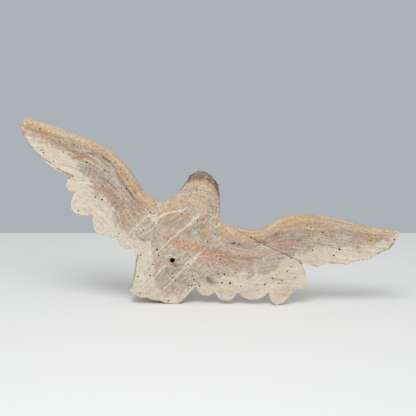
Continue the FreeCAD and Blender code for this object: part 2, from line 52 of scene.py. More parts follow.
# The bird's own frame: u runs along the wings, w out of the carved front and v up the body, in millimetres from
# the middle of its back. It is leant over to its right.
LEAN = math.radians(18.038)
BIRD_MIDDLE = np.array([-61.64, -36.26, 121.93])

# Places that several cuts share: the middles along the wings of what is carved there, how far a leg stands out and
# in front, and the eyes as (w, v) with their radius
WINGS_MIDDLE, TRUNK_MIDDLE, BREAST_MIDDLE, HEAD_MIDDLE = 10, 14, 12, 16
LEG_OUT, THIGH_FRONT, FOOT_FRONT = 28, 44, 50
EYE_FRONT, EYE_HEIGHT, EYE_RADIUS = 47, 96, 4.4

# How far below the leading edge its round nose fades out, how wide a gouge cut is, the feathers' width and height,
# how far apart the rings of a toe and a shank are, and the way that the body block's grain runs
NOSE = (26, 34)
GOUGE_WIDTH = 8.5
BREAST_FEATHER, THIGH_FEATHER, CROWN_FEATHER = (14.5, 10.5), (8.5, 7.5), (9.0, 7.5)
TOE_RINGS, SHANK_RINGS = 3.6, 4.2
GRAIN_U, GRAIN_V = 0.51, 0.86

# The brow and the mouth as (w, v, w, v), the nostril as (w, v), and the deeper hollow in the right wing as (u, v)
BROW = (60, 100, 38, 106)
MOUTH = (58, 78, 66, 73)
NOSTRIL = (65.5, 97)
RIGHT_HOLLOW = (182, 55)

# The leading edge, and the line that the feathers would end on, as (u, v)
TOP_EDGE = [
    (-336, 123), (-311, 122.5), (-258, 121), (-190, 119), (-170, 116), (-136, 102), (-112, 87), (-93, 71),
    (-79, 58), (-60, 52), (0, 48), (85, 47.5), (107, 50), (125, 52.5), (138, 58), (150, 74), (162, 89.5),
    (182, 103), (208, 112), (241, 119), (277, 122.5), (317, 125), (354, 130.6), (388, 135.6),
]
LOW_EDGE = [
    (-336, 62), (-292, 57), (-250, 35), (-216, 10), (-171, -22), (-120, -47), (-60, -67), (0, -80), (60, -92),
    (119, -100), (172, -87), (216, -75), (246, -37), (269, 7), (298, 27), (339, 55), (388, 90),
]

# The lower edge of the band of ochre size that follows the leading edge of the back, as (u, v)
BAND_EDGE = [
    (-337.5, 87.3), (-307.5, 96.3), (-295.5, 102.3), (-263.5, 99.3), (-243.5, 94.3), (-207.5, 91.3),
    (-183.4, 100.3), (-167.3, 97.2), (-149.2, 92.1), (-124.1, 67), (-115, 60.9), (-100.9, 50.8), (-88.8, 43.8),
    (-66.7, 36.6), (-40.7, 34.6), (-0.7, 36), (14, 49), (30, 54), (48, 50), (60, 37), (70, 29), (85.1, 26.8),
    (114.6, 33.3), (140.1, 38.7), (150.9, 49.9), (162.7, 60.1), (177.4, 70.4), (199.9, 82.8), (232.8, 92.9),
    (248.9, 100.8), (303.3, 110.5), (356.5, 124.2), (385.7, 132.1),
]

# The upper edge of the thin gesso that is left along the feather ends of the back, as (u, v)
GESSO_EDGE = [
    (-340, 96), (-309, 94), (-266, 87), (-245, 86), (-223, 84), (-211, 75), (-194, 58), (-173, 49), (-163, 36),
    (-137, 23), (-122, 11), (-113, -12), (-85, -25), (-66, -27), (-48, -23), (-32, -34), (-20, -68), (-16, -86),
    (4, -104), (36, -96), (60, -72), (85, -56), (120, -37), (150, -22), (170, -16), (186, 4), (194, 27), (207, 40),
    (227, 50), (241, 65), (251, 70), (288, 72), (312, 82), (336, 97), (352, 114), (370, 125), (390, 134),
]

# How grey the weathered wood between the two edges is, as (u, share), and the lower edge of the crown's dark grime
GREYING = [
    (-340, 0.2), (-250, 0.6), (-190, 0.75), (-120, 0.4), (-60, 0.35), (60, 0.35), (115, 0.2), (158, 0.15),
    (180, 0.35), (215, 0.9), (325, 0.75), (350, 0.25), (365, 0.15),
]
CROWN_EDGE = [
    (-20, 91), (-13.6, 96.5), (-4.4, 104), (5.2, 108.5), (18, 111.5), (29, 109), (39, 101), (50, 90),
]

# Cuts between the flight feathers, from the notch in the outline to the root, as (u, v, u, v)
FLIGHT_CUTS = [
    (-312, 96, -276, 110), (-296, 76, -254, 101), (-280, 68, -232, 95), (-262, 58, -212, 88), (-237, 52, -190, 82),
    (-209, 47, -165, 74), (-194, 24, -150, 54), (-189, -9, -138, 32), (-153, -8, -120, 22), (-142, -32, -104, 8),
    (-122, -32, -92, 4), (-100, -29, -78, 0), (-67, -41, -54, -6), (95, -71, 84, -30), (133, -62, 112, -24),
    (186, -42, 148, -10), (207, -62, 168, -8), (226, -18, 186, 10), (242, -13, 200, 22), (236, 12, 205, 32),
    (223, 27, 196, 44), (261, 31, 226, 54), (285, 40, 244, 66), (309, 52, 266, 76), (328, 62, 284, 86),
    (344, 74, 302, 94), (358, 88, 322, 106), (370, 100, 340, 116),
]
TAIL_CUTS = [
    (-58, -56, -20, -22), (-49, -108, -14, -30), (-38, -124, -9, -34), (-18, -122, -4, -36), (6, -120, 2, -36),
    (27, -119, 8, -34), (51, -93, 14, -28),
]

# Rows of coverts on the front: the share of the wing's width where a row ends, and its feathers on each side
COVERT_SPANS = {"left": (-303, -44), "right": (90, 356)}
COVERT_ROWS = [
    {"ends": 0.12, "rise": 0.8, "left": 15, "right": 17}, {"ends": 0.225, "rise": 0.8, "left": 12, "right": 14},
    {"ends": 0.34, "rise": 0.2, "left": 9, "right": 10}, {"ends": 0.62, "rise": 0.3, "left": 7, "right": 8},
]

# How deep the ledge under the band is cut, as (u, depth), and where the hole is that the carving hangs by
LEDGE_DEPTHS = [
    (-300, 0.1), (-240, 1.2), (-170, 2), (-90, 1.7), (-60, 0.3), (-40, 0), (80, 0), (110, 0.3), (170, 1),
    (230, 0.7), (330, 0.1),
]
HOLE_SPOT = (5.3, -43.5)

# The glue seam at the root of the left wing as (u, v, u, v), and the corner between that wing and the neck. Old
# gesso stands in a bead on the one and rounds the other.
LEFT_SEAM = (-46.8, 51.8, -96.7, -36.0)
SEAM_BEAD, SEAM_BEAD_WIDTH = 0.8, 1.6
ARMPIT = (-42.1, 52.6)
ARMPIT_FILL, ARMPIT_REACH = 1.3, 120 ** 0.5

# Painted, rubbed and spilt runs on the back, each a list of (u, v, width)
STROKES = {
    "gesso": [
        [(-55.5, 31.6, 1.2), (-61.5, 20.8, 2.4), (-69.4, 7, 1.9), (-81.9, -17.8, 1.7), (-86.8, -28.2, 0.8)],
        [(-60.7, 24, 4), (-55.7, 22.6, 8.6), (-49.7, 21.6, 11.5), (-44.7, 18.6, 8.4), (-41.7, 12.6, 2.4)],
        [(0.9, 58, 1.7), (-6.7, 48.5, 3.5), (-19.6, 43, 2.9), (-28.9, 37.2, 3.7), (-39.3, 29, 4.4),
         (-43.8, 20, 4.1), (-53.5, 9.2, 2.2), (-61.7, -3.4, 1.4), (-72.7, -21.3, 0.8)],
        [(26, 52, 3.6), (21, 45, 7.9), (17, 35, 5.5), (8, 22.5, 3.6), (-1, 9, 3.6), (-11.5, -10, 3.4),
         (-20, -27, 2.8), (-28.5, -41, 2.2), (-35, -52, 1.2)],
        [(47.5, -12.5, 2.9), (43.5, -21, 5.5), (39.5, -30, 8.9), (33, -42.5, 6.7), (25.5, -56, 3.6),
         (19, -71.5, 2.8), (11, -87.5, 2.3), (3, -106.5, 1.3)],
        [(37, -31, 3.6), (30, -39, 4.3), (25, -49, 2.4)],
        [(-4.5, -54, 2.2), (-9.7, -64, 4.1), (-13.5, -74.5, 3.1), (-18.5, -86.4, 1.9)],
        [(-312, 114, 3.1), (-309.5, 111, 2.6)], [(-313, 104, 2.9), (-310, 101, 3.6)],
        [(-302, 97, 3.1), (-299, 94.5, 2.4)], [(-9.7, -38.4, 1.9), (-3.7, -35.4, 2.9), (2.3, -33.4, 1.7)],
        [(59, 24.3, 1.3), (67.3, 20, 1.8), (80.8, 15.6, 1)],
        [(-38.7, 11.6, 1), (-56, -9.6, 1.4), (-73.4, -25.7, 1)], [(38.3, 4.6, 1.7), (42.3, 3.6, 2.2)],
        [(19.5, -11.8, 1.8), (21.5, -12.2, 2.2)], [(259, 106.7, 2.6), (263, 105.7, 2.4)],
        [(212.7, 91, 1.7), (220.8, 90.5, 2.4)], [(145, 33.6, 1.1), (154, 33.2, 1.9), (162, 32.4, 1.1)],
        [(253, 60.8, 1.3), (274.9, 60.6, 1.8)], [(89.1, -89.1, 1.7), (95.9, -75, 2.8)],
        [(59.3, -83.4, 1.3), (56.3, -69.4, 2.4)], [(-193.5, 92.3, 1), (-187.4, 92.3, 1.7), (-178.4, 88.2, 1.2)],
        [(-203.5, 101.3, 1), (-199.5, 97.3, 1.7), (-198.5, 93.3, 1)],
    ],
    # The dark runs are partly painted shade, along the lower edges of the wings, under the ledge and down the
    # tail's left side, and partly dark cracks and spots.
    "dark": [
        [(-311, 95, 1.6), (-303, 87, 2.4), (-296.5, 80.5, 1.8), (-289, 76, 2.8), (-278, 68.5, 2.2),
         (-270, 64.5, 3.2)],
        [(-267, 63.5, 1.6), (-254, 60, 2.4), (-246, 57, 1.4)],
        [(-240, 53.5, 1.6), (-223, 50, 3), (-206, 47.5, 2.8)],
        [(150, 35.8, 0.8), (183, 32.8, 1.5), (202, 30.6, 1.5), (222, 28, 1.2)], [(6, 93.8, 0.8), (22, 96.3, 0.9)],
        [(-56.5, -51, 2), (-56, -60, 3), (-53.5, -76, 2.2), (-51.5, -88, 3.2), (-50.5, -105, 2.6),
         (-49.5, -114, 1.6)],
        [(247, 28.2, 1.2), (257, 29.1, 2.4), (262, 33, 1.2)], [(274, 42.6, 1.4), (290, 45, 2.6), (303, 48.2, 2.4)],
        [(307, 52.4, 1.4), (319, 62, 2.8)], [(322, 62, 1.4), (338, 68.5, 2.6), (342, 77, 1.2)],
        [(346, 82.6, 1.6), (364, 98.3, 3.2), (369, 113, 2)],
        [(-166, 97.6, 1.4), (-158, 96, 2.4), (-150, 93.2, 1.8)],
        [(-141, 86.7, 0.7), (-128.7, 73.6, 1), (-118, 63, 1)],
        [(-113, 59.5, 1.8), (-104, 52, 2.8), (-96, 46.6, 2.4)],
        [(184, 88.2, 0.6), (210, 97.3, 0.9), (238, 107.3, 0.6)], [(97.4, 21, 3.4), (101.4, 22.4, 4.6)],
        [(107.5, 24.3, 3), (110.5, 25, 3.4)], [(163, 60.4, 2), (165.6, 61, 2.6)],
        [(139, 37.6, 1.8), (146, 39.4, 2.6), (152, 40.4, 1.6)], [(150, 36, 2), (154, 36.3, 2.4)],
        [(33, 115, 3), (42.7, 104.4, 4.4), (50, 91.3, 4), (57, 74.4, 3.4), (63, 61.8, 2.6)],
        [(-5.4, 118, 3.4), (-13.3, 101.6, 4), (-16, 90.2, 2.4), (-20, 80.9, 1.6)],
        [(128.3, 43.5, 0.9), (139.1, 36.7, 1.4)],
    ],
    "orange": [
        [(-305.5, 117.3, 3), (-280.5, 107.8, 4), (-261.5, 104.3, 3.4), (-246.5, 102.3, 2)],
        [(-203.5, 117.3, 2), (-186.9, 113.8, 3.6), (-175.8, 109.1, 3.4), (-159.3, 101.1, 2)],
        [(-129.1, 89, 2), (-113, 70.9, 3.4), (-96.9, 58.8, 2.4), (-78.8, 46.7, 2.6), (-58.7, 42.6, 1.8)],
        [(-13.3, 93, 2.6), (-4, 101, 5), (5, 106.5, 6.4), (14, 108.5, 6.6), (24, 107.5, 6), (33, 103, 4.6),
         (40, 96, 3)],
        [(-20.7, 60.6, 1.4), (-0.7, 74.6, 2), (13.3, 84.6, 1.4)], [(40, 92, 2), (46, 80, 2.6), (51, 64, 2)],
        [(87.1, 38.8, 2.6), (102.8, 41.1, 3.4), (124.4, 44.5, 2.6)],
        [(69.3, 42.6, 2), (91, 34.9, 3), (110.6, 36.2, 2.2)],
        [(149.9, 63.9, 2), (163.6, 78.1, 3.2), (187.2, 96.6, 2.6)],
        [(155.8, 58, 2.2), (176.4, 70.4, 3.2), (199.9, 81.8, 1.8)],
        [(226.8, 108.9, 1.4), (259, 115.7, 2.6), (297.2, 120.5, 1.6)],
        [(246.9, 97.8, 1.2), (270.1, 96.7, 2.4), (283.2, 99.1, 1.4)],
        [(281.1, 89.6, 1.2), (293.2, 95.1, 2.2), (305.3, 91.5, 1.2)],
        [(297.2, 102.5, 1.2), (311.3, 105.4, 2.4), (321.4, 103.4, 1.8), (327.4, 100.4, 1.2)],
        [(319.4, 112.4, 1.2), (333.4, 120.3, 2.6), (349.5, 126.3, 1.4)],
        [(309.3, 120.5, 1.2), (325.4, 127.4, 2.2), (349.5, 134.8, 1.6)],
        [(307.3, 90.5, 1.2), (327.4, 97.4, 2), (343.5, 108.3, 1.2)], [(361.6, 102.2, 3), (367.6, 115.2, 3.4)],
        [(-98.9, 6.8, 2), (-92.9, -7.2, 2.6)],
    ],
    "brown": [
        [(-9, 98, 1.6), (0, 104.5, 2.6), (10, 108, 3), (21, 108, 2.6), (31, 103.5, 1.8)],
        [(-218.5, 76.3, 3.4), (-205.5, 83.2, 5), (-191.5, 89.3, 3)],
        [(-263.5, 93.3, 1.6), (-269.5, 92.3, 2), (-261.5, 83.3, 1.6)],
        [(-197.5, 70.3, 2.4), (-186.4, 65.9, 5), (-166.3, 61.1, 5), (-145.2, 56.1, 8), (-129.1, 51, 5)],
        [(-176.4, 39.2, 2.4), (-156.2, 39.1, 6), (-139.1, 37.8, 9), (-121, 33.9, 6)],
        [(-141.2, 85, 2), (-124.1, 63, 5), (-102.9, 48.8, 5), (-88.8, 40.8, 4), (-72.7, 36.7, 2.4)],
        [(-127.1, 21, 3), (-104.9, 14.9, 7), (-90.9, 2.8, 4)],
        [(-111, 34.9, 4), (-86.8, 18.8, 8), (-70.7, 14.7, 4)],
        [(147.9, 39.9, 5), (165.6, 50.2, 14), (187.2, 60.6, 13), (208.8, 63.9, 5)],
        [(173.4, 38.3, 3), (197, 46.7, 5), (222.8, 52.9, 2)],
        [(52.3, -9.4, 4), (72.3, 3.9, 9), (102.8, 14.1, 9), (132.2, 27.6, 6)],
        [(94.9, -7, 4), (132.2, 5.6, 7), (167.6, 14.2, 3)],
        [(-22.7, 36.6, 2.4), (-6.7, 41.6, 3.6), (11.3, 38.6, 3), (17.3, 33.6, 2)],
        [(-34.7, 14.6, 3), (-18.7, 24.6, 5), (-4.7, 28.6, 3)],
        [(-40.7, -19.4, 2.4), (-26.7, -51.4, 5), (-30.7, -73.4, 3)],
        [(9.3, -77.4, 3), (21.3, -91.4, 6), (33.3, -103.4, 4)],
        [(27.3, -13.4, 4), (43.3, -3.4, 5), (59.3, 0.6, 3)],
        [(59.3, -29.4, 4), (87.1, -29.2, 6), (110.6, -38.8, 4)], [(144.9, -8.1, 1.4), (144.7, -18, 2.2)],
        [(216, -21.4, 2.4), (218, -30.6, 4.6), (213, -39.8, 3.4)], [(53.3, -61.4, 4), (65.3, -69.4, 5)],
        [(-72.7, 96.7, 2), (-60.7, 88.6, 2.6)], [(202.9, -13.2, 3), (187.2, -17.4, 4.6), (173.4, -11.7, 3)],
    ],
    "blue": [
        [(-15, 82, 1.2), (-6, 89, 1.7), (6, 93.6, 1.2)], [(32.3, 84.6, 1.6), (34.3, 78.6, 2.4)],
        [(43.3, 73.6, 3.2), (44.3, 66.6, 2)], [(50.7, 71.6, 2), (52.3, 62.6, 3.4)],
        [(43.3, 47.6, 3.4), (46.3, 54.6, 2)], [(51.3, 52.6, 2), (53.3, 46.6, 3)],
        [(58.3, 51.6, 2.6), (59.3, 44.6, 2)], [(38.3, 62.6, 2.4), (40.3, 57.6, 2)],
        [(37.3, 76.6, 2), (41.3, 70.6, 3)], [(3.3, 96.6, 1.6), (9.3, 98.6, 2.2)],
        [(-22.7, 46.6, 1.8), (-16.7, 45.6, 2.4)], [(33.3, 46.6, 2), (29.3, 40.6, 2.6)],
        [(7.3, -47.4, 3), (16.9, -48.4, 6), (28.3, -43.4, 3)], [(-1.7, -59.4, 5), (3.3, -64.4, 6)],
        [(73.3, -52.4, 5), (78.3, -58.3, 6)], [(35.3, 20.6, 4), (25.3, 26.6, 5), (33.3, 34.6, 3)],
        [(-2.7, 50.6, 2), (5.3, 47.6, 3)],
    ],
}

# Woodworm holes that show in the back, as (u, v, radius), the ends between which others are scattered over the
# front, and how far off a hole's spot the surface may be
FRONT_WORM_SPAN = (-290, 350)
WORM_SEED, TILT_SEED = 7, 41
BORE_REACH = 3
WORM_HOLES = [
    (90.3, -39.2, 1.1), (32.1, -42.8, 1.1), (45.1, -47.9, 1.1), (166.1, -46.3, 1.1), (189.7, -8.2, 1.1),
    (210.3, 13.5, 1.1), (142.1, -21.1, 1.1), (135.9, -49, 1.1), (217, 54.7, 1.1), (217.4, 93.3, 1.1),
    (209.5, 96.2, 1.1), (238.8, 76.7, 1.1), (326.8, 103.1, 1.1), (57.7, -52, 1.1), (-219.4, 103.5, 1.1),
    (-257.2, 91.2, 1.1), (-173.6, 47.6, 1.1), (-124, 26.5, 1.1), (-109.9, 29, 1.1), (-116.2, 20.4, 1.1),
    (-108.8, 61.3, 1.1), (-130.2, 86.6, 1.1), (-58.4, 49.1, 1.1), (-54, 44.5, 1.1), (-75.1, -19.8, 1.1),
    (2.1, -6.2, 1.1), (-99.6, -5, 1.1), (-197.7, 72.8, 1.1), (-126.4, 54.1, 1.1), (-271.8, 75.5, 1.1),
    (-4.2, 43.5, 1.3), (24.8, 41.3, 1.5), (-21.9, -5.9, 1.2), (-51.8, -49.4, 1.3), (-0.6, 78.5, 1.1),
    (115.6, -49.7, 2.1), (281.1, 70.6, 2), (275.1, 56.6, 1.7), (39.3, -46.4, 1.7), (51.3, -75.4, 1.4),
    (46.3, -77.4, 1.4), (-146.2, 24.1, 1.7), (100.8, -36.9, 1.7), (-26.7, -31.4, 1.8), (-190.4, 79.3, 1.6),
    (101.8, -52.9, 1.6), (204.8, 2.9, 1.4), (52.3, -63.4, 1.4), (-24.7, -80.4, 1.3), (85.1, -13.2, 1.6),
    (366.6, 117.2, 1.4), (-266.5, 72.3, 1.4), (99.9, 21, 1.4), (70.3, -32.4, 1.3), (223.8, 24.9, 1.3),
    (234.8, 53.9, 1.4), (65.3, -72.4, 1.3), (241.9, 90.8, 1.6), (16.3, -36.4, 1.3), (15.3, -71.4, 1.4),
    (-59.7, -5.4, 1.4), (11.3, -64.4, 1.3), (85.1, -7.2, 1.3), (175.4, -32.6, 1.6), (-159.3, 24.1, 1.4),
    (-39.7, -48.4, 1.4), (-44.7, -89.4, 1.3), (-94.9, 55.8, 1.4), (-25.7, -59.4, 1.3), (115.6, 3.3, 1.3),
    (-20.7, -40.4, 1.3), (201.9, -15.2, 1.3), (-53.7, -22.4, 1.3), (221.8, -3.1, 1.2), (185.2, -17.5, 1.3),
    (108.7, 23.2, 1.3), (57.3, -71.4, 1.3), (49.3, -48.4, 1.2), (22.3, -75.4, 1.2), (262, 71.7, 1.3),
    (119.5, -28.6, 1.2), (100.8, -19.9, 1.2), (21.3, -115.4, 1.2), (-157.2, 75.1, 1.3), (216.7, 61, 1.2),
    (-282.5, 111.3, 1.4), (124.4, 42.5, 1.3), (53.3, 10.6, 1.3), (47.3, -57.4, 1.2), (34.3, -40.4, 1.2),
    (-32.7, -117.4, 1.2), (62.3, 26.6, 1.2), (-56.7, 28.6, 1.3), (-179.4, -6.7, 1.3), (-111, 55.9, 1.3),
    (-244.5, 100.3, 1.3), (6.3, 93.6, 1.2), (203.9, 27.8, 1.2), (198, -22.3, 1.2), (-246.5, 62.3, 1.2),
    (184.2, 19.5, 1), (12.3, -1.4, 1), (-20.7, -115.4, 1), (-147.2, 58.1, 1.2), (320.4, 109.4, 1.2),
    (46.3, 61.6, 1.2), (35.3, 46.6, 1), (-164.3, 98.2, 1.2), (143, 42.8, 1), (-114, 71.9, 1.2), (33.3, -25.4, 1),
    (-189.4, 46.3, 1), (161.7, -35.9, 1), (76.3, -53.4, 1), (28.3, 91.6, 1), (-234.5, 83.3, 1), (-188.4, 10.3, 1),
    (186.2, 29.5, 1), (-99.9, -25.2, 1),
]

# Soft stains on the back, as (u, v, reach along, reach up, strength)
STAINS = {
    "rose": [
        (-100.9, 28.8, 36, 18, 0.8), (-140, 48, 28, 9, 0.55), (-178, 72, 26, 6, 0.4), (-12, 30, 26, 9, 0.8),
        (173, 51, 27, 11, 1.1), (150, 40, 15, 7, 0.8), (198, 66, 26, 8, 0.8), (98, -5, 44, 14, 0.6),
        (24, -79, 24, 20, 0.5), (94, -58, 16, 16, 0.5), (-44, -22, 12, 22, 0.15), (38, 41, 15, 9, 0.45),
        (4, 112, 30, 10, 0.4), (113, -72, 11, 12, 0.9), (200, 24, 20, 8, 0.3),
    ],
    "ash": [
        (-170, 86, 40, 9, 1), (-226, 98, 26, 5, 1), (-121, 53, 24, 14, 0.8), (-224, 112, 24, 6, 0.7),
        (39, 31, 34, 13, 1), (36, 58, 14, 14, 0.5), (235, 84, 34, 8, 0.6), (115, 27, 40, 7, 0.6),
        (19, -52, 30, 14, 0.8), (-45, 4, 20, 14, 0.8), (-22, -24, 12, 20, 0.4), (-62, 2, 12, 20, 0.6),
        (134, -30, 30, 10, 0.1), (108, 42, 22, 5, 0.3), (70, -40, 26, 10, 0.5), (-200, 90, 30, 7, 0.9),
        (-14, 68, 12, 12, 0.8), (59, 50, 8, 18, 0.75), (290, 96, 50, 8, 0.9),
    ],
    "orange": [
        (-7, -6, 14, 9, 0.9), (11, -8, 18, 9, 1), (33, -7, 17, 8, 1), (52, -16, 16, 9, 0.9), (76, -8, 24, 9, 0.8),
        (112, 8, 26, 6, 0.6), (-9, 17, 18, 8, 0.3), (146, 20, 20, 5, 0.4), (172, 50, 22, 8, 0.5),
        (-98, 4, 4, 8, 0.6), (150, -66, 46, 14, 0.2), (212, -30, 16, 26, 0.3), (196, 6, 20, 20, 0.16),
        (20, -104, 30, 8, 0.2),
    ],
    "dark": [
        (17.4, 14, 8, 6, 0.5), (84, -58, 5, 6, 0.7), (77, -51, 5, 5, 0.5), (99, 22, 10, 4, 0.5),
        (7.6, -48, 5, 4, 0.9), (12.5, -50, 6, 3, 0.5), (-5, 112, 6, 8, 0.5), (42, 108, 6, 10, 0.6),
        (143, 39, 14, 4, 0.25),
    ],
}

# The stage: how far the table lies under the carving, where its far edge is, its size, and how steeply it falls off
# beyond that edge, then the lamps as (place, aim, size, power), and the camera
TABLE_GAP = 0.3 * MM
TABLE_END = 561 * MM
TABLE_SIZE = 6.0
TABLE_DROP = math.radians(13)
WORLD_LIGHT = Vector((0.94, 0.97, 1.0)) * 0.52
LAMPS = {
    "overhead": ((-0.2, -0.95, 1.65), (0.0, 0.05, 0.05), 1.1, 17.2),
    "window": ((1.3, -2.0, 1.3), (0.0, 0.0, 0.12), 1.2, 8.0),
}
CAMERA_PLACE = (-0.0064, -1.3793, 0.425)
CAMERA_DOWN = math.radians(10.51)
CAMERA_LENS = 67.15


def paint(red, green, blue):
    """A colour from the usual 0 to 255 steps, as the linear values that a shader takes."""
    steps = [value / 255 for value in (red, green, blue)]
    return tuple(value / 12.92 if value <= 0.04045 else ((value + 0.055) / 1.055) ** 2.4 for value in steps)


# Settings

class CarvingSizes(bpy.types.PropertyGroup):
    """Sizes of the carving's marks that a user may change."""
    body_mesh: FloatProperty(
        name="Body mesh", description="Spacing of the points on the body block", default=1.3 * MM, unit="LENGTH",
        precision=5)
    wing_mesh: FloatProperty(
        name="Wing mesh", description="Spacing of the points on the wings", default=1.1 * MM, unit="LENGTH",
        precision=5)
    small_mesh: FloatProperty(
        name="Head and foot mesh", description="Spacing of the points on the head and feet", default=0.8 * MM,
        unit="LENGTH", precision=5)
    feather_relief: FloatProperty(
        name="Feather relief", description="How far one feather stands over the next", default=1.5 * MM,
        unit="LENGTH", precision=5)
    gouge_depth: FloatProperty(
        name="Gouge depth", description="Depth of the tool marks in the hollow back", default=0.45 * MM,
        unit="LENGTH", precision=5)
    gesso_height: FloatProperty(
        name="Gesso height", description="How far the spilt gesso stands up", default=0.6 * MM, unit="LENGTH",
        precision=5)
    worm_depth: FloatProperty(
        name="Worm hole depth", description="Depth of a woodworm hole", default=6.0 * MM, unit="LENGTH")
    front_worms: IntProperty(
        name="Worm holes in front", description="How many worm holes the carved front has", default=60)


class CarvingColours(bpy.types.PropertyGroup):
    """Colours of the worn finish."""
    cream: FloatVectorProperty(
        name="Gesso ground", description="Thin old gesso over the wood", subtype="COLOR", size=3,
        default=paint(222, 210, 191))
    bare: FloatVectorProperty(
        name="Bare wood", description="Dry wood under the gesso", subtype="COLOR", size=3,
        default=paint(202, 184, 163))
    ochre: FloatVectorProperty(
        name="Ochre size", description="Yellow size left along the leading edges", subtype="COLOR", size=3,
        default=paint(200, 162, 108))
    rose: FloatVectorProperty(
        name="Red clay", description="Rubbed red clay in the hollows", subtype="COLOR", size=3,
        default=paint(160, 124, 106))
    ash: FloatVectorProperty(
        name="Grime", description="Grey-brown dirt", subtype="COLOR", size=3, default=paint(158, 150, 143))
    drip: FloatVectorProperty(
        name="Spilt gesso", description="White runs of gesso", subtype="COLOR", size=3,
        default=paint(226, 216, 196))
    gold: FloatVectorProperty(
        name="Gold leaf", description="Remains of gilding on the carved front", subtype="COLOR", size=3,
        default=paint(188, 142, 76))


# Working in the bird's own frame

def smooth_step(value, low, high):
    """0 below low, 1 above high and a smooth step between them."""
    t = np.clip((value - low) / (high - low), 0, 1)
    return t * t * (3 - 2 * t)


def hump(value, width):
    """1 at 0, and a smooth fall to nothing on both sides over about this width."""
    return np.exp(-(value / width) ** 2)


def read(line, u):
    """The value of a line of (u, value) points at each place along the wings."""
    return np.interp(u, *zip(*line))


def ripple(u, v, size, seed):
    """Smooth uneven waves of about the given size in millimetres, from -1 to 1."""
    chance = np.random.default_rng(seed)
    total = np.zeros_like(u)
    waves = 7
    turns, stretches = chance.uniform(0, math.pi, waves), chance.uniform(0.6, 1.7, waves)
    starts = chance.uniform(0, 7, waves)
    for turn, stretch, start in zip(turns, stretches, starts):
        total += np.sin((u * math.cos(turn) + v * math.sin(turn)) * stretch * 2 * math.pi / size + start)
    return total / 3.2


class Skin:
    """A piece's points in the bird's own frame, and which way the surface faces there.

    u, v and w are the points' places. back and front are 1 where the surface faces that way. top and low are the
    leading edge and the feather line at each point, and fall is its share of the way from the one to the other.
    """

    def __init__(self, piece):
        self.mesh = piece.data
        count = len(self.mesh.vertices)
        self.points = np.empty(count * 3)
        self.normals = np.empty(count * 3)
        self.mesh.vertices.foreach_get("co", self.points)
        self.mesh.vertices.foreach_get("normal", self.normals)
        self.points = self.points.reshape(-1, 3)
        self.normals = self.normals.reshape(-1, 3)
        x, self.w, z = (self.points / MM - BIRD_MIDDLE).T
        self.u = x * math.cos(LEAN) - z * math.sin(LEAN)
        self.v = x * math.sin(LEAN) + z * math.cos(LEAN)
        self.back = smooth_step(-self.normals[:, 1], 0.15, 0.6)
        self.front = smooth_step(self.normals[:, 1], 0.15, 0.6)
        self.top = read(TOP_EDGE, self.u)
        self.low = read(LOW_EDGE, self.u)
        self.fall = (self.top - self.v) / (self.top - self.low)

    def push(self, distance):
        """Moves each point out along its normal by a distance in millimetres, but none into the table."""
        self.points += self.normals * (distance * MM)[:, None]
        self.points[:, 2] = np.maximum(self.points[:, 2], 0)
        self.mesh.vertices.foreach_set("co", self.points.ravel())
        self.mesh.update()

    def keep(self, name, *values):
        """Stores three values at each point, for the finish to read."""
        layer = self.mesh.attributes.new(name, "FLOAT_VECTOR", "POINT")
        layer.data.foreach_set("vector", np.stack(values, axis=1).astype(np.float32).ravel())

    def around(self, values):
        """The mean of the values at each point's neighbours."""
        pairs = np.empty(len(self.mesh.edges) * 2, dtype=np.int64)
        self.mesh.edges.foreach_get("vertices", pairs)
        a, b = pairs.reshape(-1, 2).T
        count = len(values)
        shares = np.bincount(a, minlength=count) + np.bincount(b, minlength=count)
        total = np.bincount(a, values[b], count) + np.bincount(b, values[a], count)
        return total / np.maximum(shares, 1)

    def bulge(self):
        """How far each point stands over its neighbours: above 0 on worn edges, below 0 in cuts."""
        over = np.zeros(len(self.points))
        for axis in range(3):
            line = self.points[:, axis]
            over += (line - self.around(line)) * self.normals[:, axis]
        over = over / MM
        for _ in range(2):
            over = 0.5 * over + 0.5 * self.around(over)
        return over


def off_line(u, v, start_u, start_v, end_u, end_v):
    """How far each point is from a straight line between two spots, and its share of the way along it."""
    run_u, run_v = end_u - start_u, end_v - start_v
    share = np.clip(((u - start_u) * run_u + (v - start_v) * run_v) / (run_u ** 2 + run_v ** 2), 0, 1)
    return np.hypot(u - start_u - share * run_u, v - start_v - share * run_v), share


def scales(across, up, width, height):
    """A field of rounded feathers that hang over each other, from 0 at a root to 1 at a raised end."""
    relief = np.zeros_like(across)
    rows_long = 1.6
    for above in (0, 1):
        row = np.floor(up / height) + above
        place = across / width + 0.5 * (row % 2)
        offset = (place - np.floor(place) - 0.5) * 2
        hang = (row + 1) - up / height
        rounding = np.clip((hang - 0.9) / 0.7, 0, 1)
        covers = (hang < rows_long) & (np.abs(offset) < np.sqrt(1 - rounding ** 2))
        crowned = hang / rows_long - 0.25 * offset ** 2 + 0.12 * hump(offset, 0.12)
        relief = np.where(covers, crowned, relief)
    return relief


def stroke_cover(name, u, v):
    """How much of the named runs lies on each spot, from 0 to 1, with ragged sides."""
    ragged = 1 + 0.32 * ripple(u, v, 11, 61) + 0.28 * ripple(u, v, 5, 62)
    cover = np.zeros_like(u)
    for run in STROKES[name]:
        for (u0, v0, wide0), (u1, v1, wide1) in zip(run, run[1:]):
            distance, share = off_line(u, v, u0, v0, u1, v1)
            half = 0.5 * (wide0 + (wide1 - wide0) * share) * ragged
            cover = np.maximum(cover, 1 - smooth_step(distance, half - 0.7, half + 0.7))
    return cover


def stain_cover(name, u, v):
    """How strong the named soft stains are on each spot, from 0 to 1."""
    cover = np.zeros_like(u)
    for middle_u, middle_v, along, up, strength in STAINS[name]:
        cover = np.maximum(cover, strength * np.exp(-((u - middle_u) / along) ** 2 - ((v - middle_v) / up) ** 2))
    return cover


# Carving

